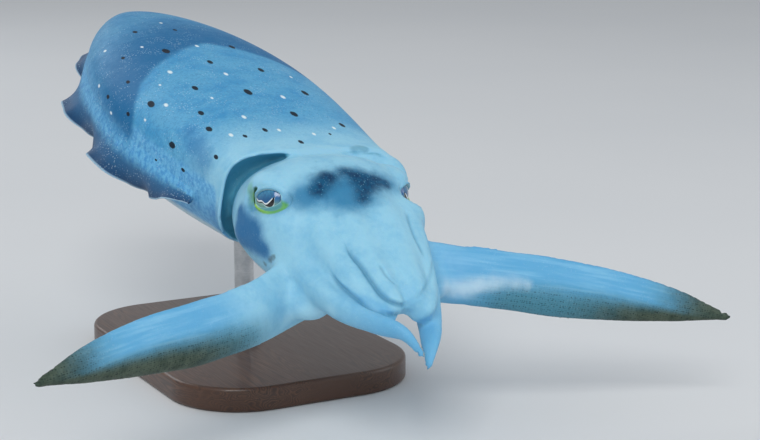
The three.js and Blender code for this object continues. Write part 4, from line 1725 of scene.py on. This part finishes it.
    @staticmethod
    def fold(places: Array, lines: Sequence[Array]) -> tuple[Array, Array]:
        """Carve the folds of the bunched arms, each with one side that laps over the other, and work out
        their painted shade.

        Args:
            places: The skin's vertices.
            lines: For each crease, the rows that traced gives.

        Returns:
            The moved vertices, and how much painted shade each of them gets, dark in each fold and on the
            side under it.
        """
        moved = places.copy()
        shade = np.zeros(len(places))
        for line, crease in zip(lines, CREASES):
            middle, normal = line[:, :3], line[:, 3:]
            heading = np.gradient(middle, axis=0)
            heading /= np.maximum(np.linalg.norm(heading, axis=1, keepdims=True), 1e-6)
            low, high = middle.min(axis=0) - 12, middle.max(axis=0) + 12
            near = np.flatnonzero(((places > low) & (places < high)).all(axis=1))
            best, gap = closest(places[near], middle)
            offset = places[near] - middle[best]
            across = (offset * np.cross(normal, heading)[best]).sum(axis=1)
            share = best / (len(middle) - 1)
            fade = ease(share, 0, 0.25) * ease(share, 1, 0.85) * ((offset * normal[best]).sum(axis=1) > -5)
            push = crease.lift * ease(across, 0, 1.8) * hump(gap, 0, 5) - crease.depth * hump(gap, 0, 1.1)
            moved[near] += normal[best] * (push * fade)[:, None]
            # Painted shade: dark along the fold and, more faintly, on the side that lies under the lap
            dark = hump(gap, 0, 1.0) + 0.4 * hump(gap, 0, 4.0) * ease(across, 0.5, -0.5)
            shade[near] = np.maximum(shade[near], dark * fade * min(1.0, crease.depth))
        return moved, shade

    def paint(self, mesh: Mesh, places: Array, dark: Array, pale: Array) -> None:
        """Keep the masks of the markings, and of the painted shade and highlight, on the mesh.

        Args:
            mesh: The skin's mesh.
            places: Its vertices.
            dark: The dark spots, each a place and a radius.
            pale: The pale dots, likewise.
        """
        x, y, z = places.T
        normals = np.empty(3 * len(mesh.vertices))
        mesh.vertices.foreach_get("normal", normals)
        normals = normals.reshape(-1, 3)
        full = self.mantle.fullness(places)
        width = self.mantle.width_at(np.clip(y / self.mantle.length, 0, 0.99))
        back_from_rim = self.mantle.share_at(places) * self.mantle.length
        behind_rim = ease(y, -9, 0)
        outside = ease(full, 0.93, 0.98)
        # The mantle's outside behind the rim, laid darker than the face, partly as painted light
        store(mesh, "back", ease(back_from_rim, -4, 46) * outside)
        store(mesh, "dark_spot", self.nearest_mark(places, dark))
        store(mesh, "pale_dot", self.nearest_mark(places, pale))
        side_share = np.abs(x) / np.maximum(width, 4)
        level = ease(z, 14, 0) * ease(z, -34, -16)
        store(mesh, "margin", behind_rim * outside * level * ease(side_share, 0.5, 0.85))
        underneath = ease(normals[:, 2], -0.35, -0.9)
        store(mesh, "belly", underneath * ease(np.abs(x), 75, 60) * (y > -60) * 0.9)
        border = np.interp(np.abs(x), [0, 17, 37, 48, 55, 61], [127, 118, 103, 92, 80, 64])
        beyond = y - border
        band = ease(beyond, -4, 5) * (1 - 0.55 * ease(beyond, 15, 75))
        store(mesh, "rear_band", band * ease(z, -12, 8) * outside)
        # The inside of the collar: its own teal, laid darker than the skin outside, partly as painted shade
        # in the hollow
        inside = ease(full, 0.97, 0.92) * ease(back_from_rim, -5, 1) * ease(y, 27, 22)
        store(mesh, "lining", inside)
        # A painted highlight: a thin pale line along the collar's free edge
        front = ease(back_from_rim, 2.2, 0.6) * ease(back_from_rim, -5, -3)
        store(mesh, "rim", hump(full, 0.975, 0.03) * front)
        self.paint_fins(mesh, places, full)
        self.paint_arms(mesh, places)
        self.paint_eyes(mesh, places)
        # Painted shade: a faint dark line where a crease behind each shoulder would be; the skin is not
        # carved there
        crease = Route(SHOULDER_CREASE)
        mirrored = np.stack([-np.abs(x), y, z], axis=1)
        near = (np.abs(x) > 28) & (y > 25) & (y < 70) & (z > 0)
        gap = np.full(len(x), FAR_AWAY)
        gap[near] = crease.nearest(mirrored[near])[1]
        store(mesh, "crease", np.minimum(gap / 1.6, 3))

    @staticmethod
    def nearest_mark(places: Array, marks: Array) -> Array:
        """Return the distance from the nearest mark, longer than wide, in its own radii, up to 3."""
        best = np.full(len(places), 3.0)
        for x, y, z, size in marks:
            best = np.minimum(best, lengths((places - (x, y, z)) * (1, 0.5, 1)) / size)
        return best

    def paint_fins(self, mesh: Mesh, places: Array, full: Array) -> None:
        """Keep how far each place lies across a fin, from 0 at its root to 1 at its edge."""
        across = np.zeros(len(places))
        s = np.linspace(0, 1, 220)
        for side in Side:
            root, outward, reach, _ = self.mantle.fin_frame(side, s)
            level = np.abs(places[:, 2] - self.mantle.fin_level) < 22
            beside = (places[:, 0] * side.value > -1) & (places[:, 1] > 8)
            part = np.flatnonzero((full > 1.02) & level & beside)
            best, _ = closest(places[part, :2], root[:, :2])
            out = places[part] - root[best]
            away = np.hypot((out * outward[best]).sum(axis=1), out[:, 2])
            across[part] = np.clip(away / reach[best], 0, 1)
        store(mesh, "fin", across)

    def paint_arms(self, mesh: Mesh, places: Array) -> None:
        """Keep the masks and coordinates of the lower arms, of which the fourth ones are the broad ones."""
        count = len(places)
        along, height, low_band, olive, blade = (np.zeros(count) for _ in range(5))
        for arm in self.arms:
            if not arm.low:
                continue
            below = (places[:, 1] < -46) & (places[:, 2] < 16)
            part = np.flatnonzero((places[:, 0] * arm.side.value > 2) & below)
            if not arm.broad:
                t, gap = arm.route.nearest(places[part])
                blade[part] = ease(t, 0.25, 0.85) * ease(gap, 12, 8) * 0.8
                continue
            part = part[np.abs(places[part, 0]) > 14]
            t, gap = arm.route.nearest(places[part])
            part, t = part[gap < 24], t[gap < 24]
            centres, _, _, up = arm.frames(t)
            rise = ((places[part] - centres) * up).sum(axis=1)
            reach = np.where(rise > 0, arm.above(t), arm.below(t))
            level = rise / np.maximum(reach, 1)
            along[part] = t * arm.route.length
            height[part] = rise
            late, early = (0.16, 0.2) if arm.side is Side.RIGHT else (0.4, 0.0)
            tip = ease(t, 0.6, 1.0) * 0.9
            # The lower band: partly the arm's own darker colour, partly painted shade on its underside
            low_band[part] = np.maximum(ease(level, 0.45, -0.75), tip) * ease(t, 0.14, 0.4)
            edge = ease(level, 0.2, -0.75) * ease(t, late, late + 0.4)
            olive[part] = np.maximum(edge, ease(t, 0.7, 0.97) * 0.95)
            blade[part] = np.maximum(blade[part], ease(t, early, early + 0.3))
        names = ("arm_along", "arm_height", "low_band", "blade", "olive")
        for name, values in zip(names, (along, height, low_band, blade, olive)):
            store(mesh, name, values)

    def paint_eyes(self, mesh: Mesh, places: Array) -> None:
        """Keep the places of the skin in the eyes' planes."""
        ahead, up, cleft = (np.full(len(places), FAR_AWAY) for _ in range(3))
        for eye in self.head.eyes:
            a, b, out = eye.plane(places)
            part = (out > 0) & (np.hypot(a, b) < 26)
            ahead[part], up[part] = a[part], b[part]
            cleft[part] = eye.cleft(a[part], b[part])
        store(mesh, "eye_ahead", ahead)
        store(mesh, "eye_up", up)
        store(mesh, "eye_cleft", np.minimum(cleft, 9))


# Suckers


@dataclass
class Suckers:
    """Rows of small cups on the arms' inner faces."""

    skin: Skin
    rows: int = 4

    def build(self, body: Object, finish: Material) -> Object:
        """Make all the cups as one piece.

        Args:
            body: The finished skin, which they sit on.
            finish: Their material.

        Returns:
            The piece.
        """
        carriage = self.skin.carriage
        outward = carriage.matrix()
        tree = BVHTree.FromPolygons(
            [outward.inverted() @ vertex.co for vertex in body.data.vertices],
            [tuple(face.vertices) for face in body.data.polygons],
        )
        bm = bmesh.new()
        for arm in self.skin.arms:
            self.dress(bm, tree, arm)
        made = settled(bm, "suckers")
        made.data.transform(outward)
        dressed(made, finish)
        return made

    def dress(self, bm: BMesh, tree: BVHTree, arm: Arm) -> None:
        """Set the cups along one arm's inner face."""
        lean, t = (0.55, 0.42) if arm.broad else (0.0, 0.5)
        order = 0
        while t < 0.97:
            size = 0.95 * (1 - t) ** 0.5 + 0.22
            centre, along, _, up = (part[0] for part in arm.frames(np.array([t])))
            inner = unit(-up + lean * np.array([0, 1.0, 0]))
            sideways = unit(np.cross(along, inner))
            for row in range(self.rows):
                turn = (row - (self.rows - 1) / 2 + (0.25 if order % 2 else -0.25)) * 0.34
                direction = inner * math.cos(turn) + sideways * math.sin(turn)
                limit = 1.25 * float(max(arm.below(t), arm.width(t)))
                start = Vector(centre.tolist())
                found, normal, _, _ = tree.ray_cast(start, Vector(direction.tolist()), limit)
                if found is None or normal.dot(Vector(direction.tolist())) < 0.35:
                    continue
                if not self.skin.seen(tree, np.array(found + normal * size)):
                    self.cup(bm, found, normal, size)
            t += 2.3 * size / arm.route.length
            order += 1

    @staticmethod
    def cup(bm: BMesh, place: Vector, normal: Vector, size: float) -> None:
        """Add one cup with a sunken middle."""
        turn = normal.to_track_quat("Z", "Y").to_matrix().to_4x4()
        at = Matrix.Translation(place + normal * size * 0.18) @ turn
        made = bmesh.ops.create_cone(
            bm, cap_ends=True, segments=8, radius1=size * 0.62, radius2=size, depth=size * 0.8, matrix=at
        )
        top = max(
            (face for face in {f for v in made["verts"] for f in v.link_faces} if len(face.verts) == 8),
            key=lambda face: face.calc_center_median().dot(normal),
        )
        bmesh.ops.inset_individual(bm, faces=[top], thickness=size * 0.34, depth=-size * 0.3)


# Stand


@dataclass
class Stand:
    """A flat wooden base, a steel collar and one steel rod, in the row's frame and in millimetres."""

    length: float = 176.0
    width: float = 124.0
    thickness: float = 12.0
    corner: float = 38.0
    bevel: float = 2.0
    rod_radius: float = 5.0
    gap: float = 0.3
    floor_left: float = 4.0
    collar_radius: float = 11.0
    collar_height: float = 7.0

    def plate(self, finish: Material) -> Object:
        """Make the base: a rounded plate with a soft edge and a socket for the rod."""
        bm = bmesh.new()
        size = Matrix.Diagonal(Vector((self.width / 2, self.length / 2, 1, 1)))
        bmesh.ops.create_grid(bm, x_segments=1, y_segments=1, size=1.0, matrix=size)
        rounded(bm, bm.verts[:], self.corner, 24, "VERTICES")
        floor = bm.faces[:]
        raised = bmesh.ops.extrude_face_region(bm, geom=floor)
        top = [part for part in raised["geom"] if isinstance(part, BMVert)]
        bmesh.ops.translate(bm, vec=(0, 0, self.thickness), verts=top)
        bmesh.ops.recalc_face_normals(bm, faces=bm.faces)
        edges = [edge for edge in bm.edges if abs(edge.verts[0].co.z - edge.verts[1].co.z) < 0.1]
        rounded(bm, edges, self.bevel, 6, "EDGES")
        base = settled(bm, "stand_base_plate")
        bore = bmesh.new()
        place = Matrix.Translation((0, 0, self.thickness / 2 + self.floor_left))
        sizes = dict.fromkeys(("radius1", "radius2"), self.rod_radius + self.gap)
        bmesh.ops.create_cone(bore, cap_ends=True, segments=64, depth=self.thickness, matrix=place, **sizes)
        combined(base, settled(bore, "drill"), "DIFFERENCE", "EXACT")
        return self.placed(base, finish)

    def collar(self, finish: Material) -> Object:
        """Turn the collar that grips the rod's foot."""
        inner = self.rod_radius + 0.05
        low = self.thickness
        high = low + self.gap + self.collar_height
        r = self.collar_radius
        profile = (
            (inner, low), (r - 0.4, low), (r, low + 0.4), (r, low + 1.9), (r - 0.5, low + 2.5),
            (r - 1.6, low + 3.2), (inner + 2.3, high - 0.6), (inner + 1.7, high), (inner, high),
        )
        return self.placed(self.turned(profile, "stand_collar_ring", True), finish)

    def rod(self, top: float, finish: Material) -> Object:
        """Turn the rod, from its socket in the base to its socket in the belly."""
        r = self.rod_radius
        low = self.floor_left + self.gap
        profile = (
            (0.0, low), (r - 0.5, low), (r, low + 0.5), (r, (low + top) / 2), (r, top - 0.5),
            (r - 0.5, top), (0.0, top),
        )
        return self.placed(self.turned(profile, "stand_rod_bar", False), finish)

    @staticmethod
    def turned(profile: Sequence[tuple[float, float]], name: str, closed: bool) -> Object:
        """Spin a profile of radii and heights about the rod's axis."""
        bm = bmesh.new()
        points = [bm.verts.new((radius, 0, height)) for radius, height in profile]
        pairs = list(zip(points, points[1:]))
        if closed:
            pairs.append((points[-1], points[0]))
        edges = [bm.edges.new(pair) for pair in pairs]
        bmesh.ops.spin(
            bm, geom=[*points, *edges], axis=(0, 0, 1), cent=(0, 0, 0), angle=2 * math.pi, steps=72,
            use_merge=True,
        )
        bmesh.ops.remove_doubles(bm, verts=bm.verts, dist=1e-4)
        return settled(bm, name)

    @staticmethod
    def placed(piece: Object, finish: Material) -> Object:
        """Bring a piece to metres, with smooth sides and sharp edges, and dress it."""
        piece.data.transform(Matrix.Scale(0.001, 4))
        dressed(piece, finish)
        piece.data.set_sharp_from_angle(angle=math.radians(34))
        return piece


# Studio


@dataclass
class Studio:
    """A plain pale floor and soft light."""

    viewpoint: Viewpoint

    def floor(self) -> None:
        """Lay the floor."""
        bm = bmesh.new()
        bmesh.ops.create_grid(bm, x_segments=1, y_segments=1, size=6.0)
        made = settled(bm, "floor")
        finish = Finish("paper")
        w = finish.w
        tint = w.blend(w.noise(w.place(), 3.0, 2.0), colour(226, 228, 230), colour(220, 223, 226))
        finish.feed(Base_Color=tint, Roughness=0.8)
        made.data.materials.append(finish.material)

    def light(self, name: str, place: Triple, aim: Triple, size: float, power: float, tint: Triple) -> None:
        """Hang one soft square light."""
        lamp = bpy.data.lights.new(name, "AREA")
        lamp.shape = "SQUARE"
        lamp.size = size
        lamp.energy = power
        lamp.color = tint
        made = bpy.data.objects.new(name, lamp)
        made.location = place
        made.rotation_euler = (Vector(aim) - Vector(place)).to_track_quat("-Z", "Y").to_euler()
        bpy.context.scene.collection.objects.link(made)

    def build(self) -> None:
        """Make the floor, the lights, the surroundings and the camera."""
        self.viewpoint.camera()
        self.floor()
        self.light("key", (-0.9, -1.3, 1.5), (0, -0.05, 0.1), 1.0, 21.0, (1.0, 0.985, 0.96))
        self.light("fill", (1.5, -0.9, 0.9), (0, -0.05, 0.1), 1.4, 6.5, (0.95, 0.98, 1.0))
        self.light("rim", (-0.4, 1.5, 1.1), (0, 0, 0.1), 1.0, 5.0, (0.95, 0.98, 1.0))
        world = bpy.data.worlds.new("studio")
        world.use_nodes = True
        sky = world.node_tree.nodes["Background"]
        sky.inputs["Color"].default_value = (0.93, 0.96, 1.0, 1.0)
        sky.inputs["Strength"].default_value = 0.46
        bpy.context.scene.world = world
        bpy.context.scene.view_settings.view_transform = "Standard"


def settle(piece: Object, slot: Slot, *nodes: str) -> None:
    """Tie a piece to the root body, hide the solids that it stands for, and log it with its slot."""
    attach(piece, "root")
    if nodes:
        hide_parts(*nodes)
    log.info("%s: %d triangles, slot %s", piece.name, triangles_of(piece.data), slot.value)


def main() -> None:
    """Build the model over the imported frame."""
    logging.basicConfig(level=logging.INFO, format="%(message)s")
    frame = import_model()
    flesh = [name for name in frame["nodes"] if not name.startswith(("stand_", "eye_"))]
    groups = Groups(mottle_group(), zone_group())
    viewpoint = Viewpoint()
    Studio(viewpoint).build()
    skin = Skin(Carriage(), viewpoint)
    body = skin.build(SkinFinish(groups).make())
    settle(body, Slot.SKIN, *flesh)
    eye_finish = EyeFinish().make()
    for eye in skin.head.eyes:
        ball = eye.ball()
        ball.data.transform(skin.carriage.matrix())
        dressed(ball, eye_finish)
        settle(ball, Slot.EYEBALL, f"eye_{eye.side.name.lower()}")
    cups = Suckers(skin).build(body, SuckerFinish(groups).make())
    settle(cups, Slot.SKIN)
    stand = Stand()
    wood, steel = WoodFinish(groups).make(), SteelFinish(groups).make()
    settle(stand.plate(wood), Slot.WOOD, "stand_base")
    settle(stand.collar(steel), Slot.STEEL, "stand_collar")
    rod_top = float(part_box("stand_rod")[1][2]) * 1000
    settle(stand.rod(rod_top, steel), Slot.STEEL, "stand_rod")


if __name__ == "__main__":
    main()
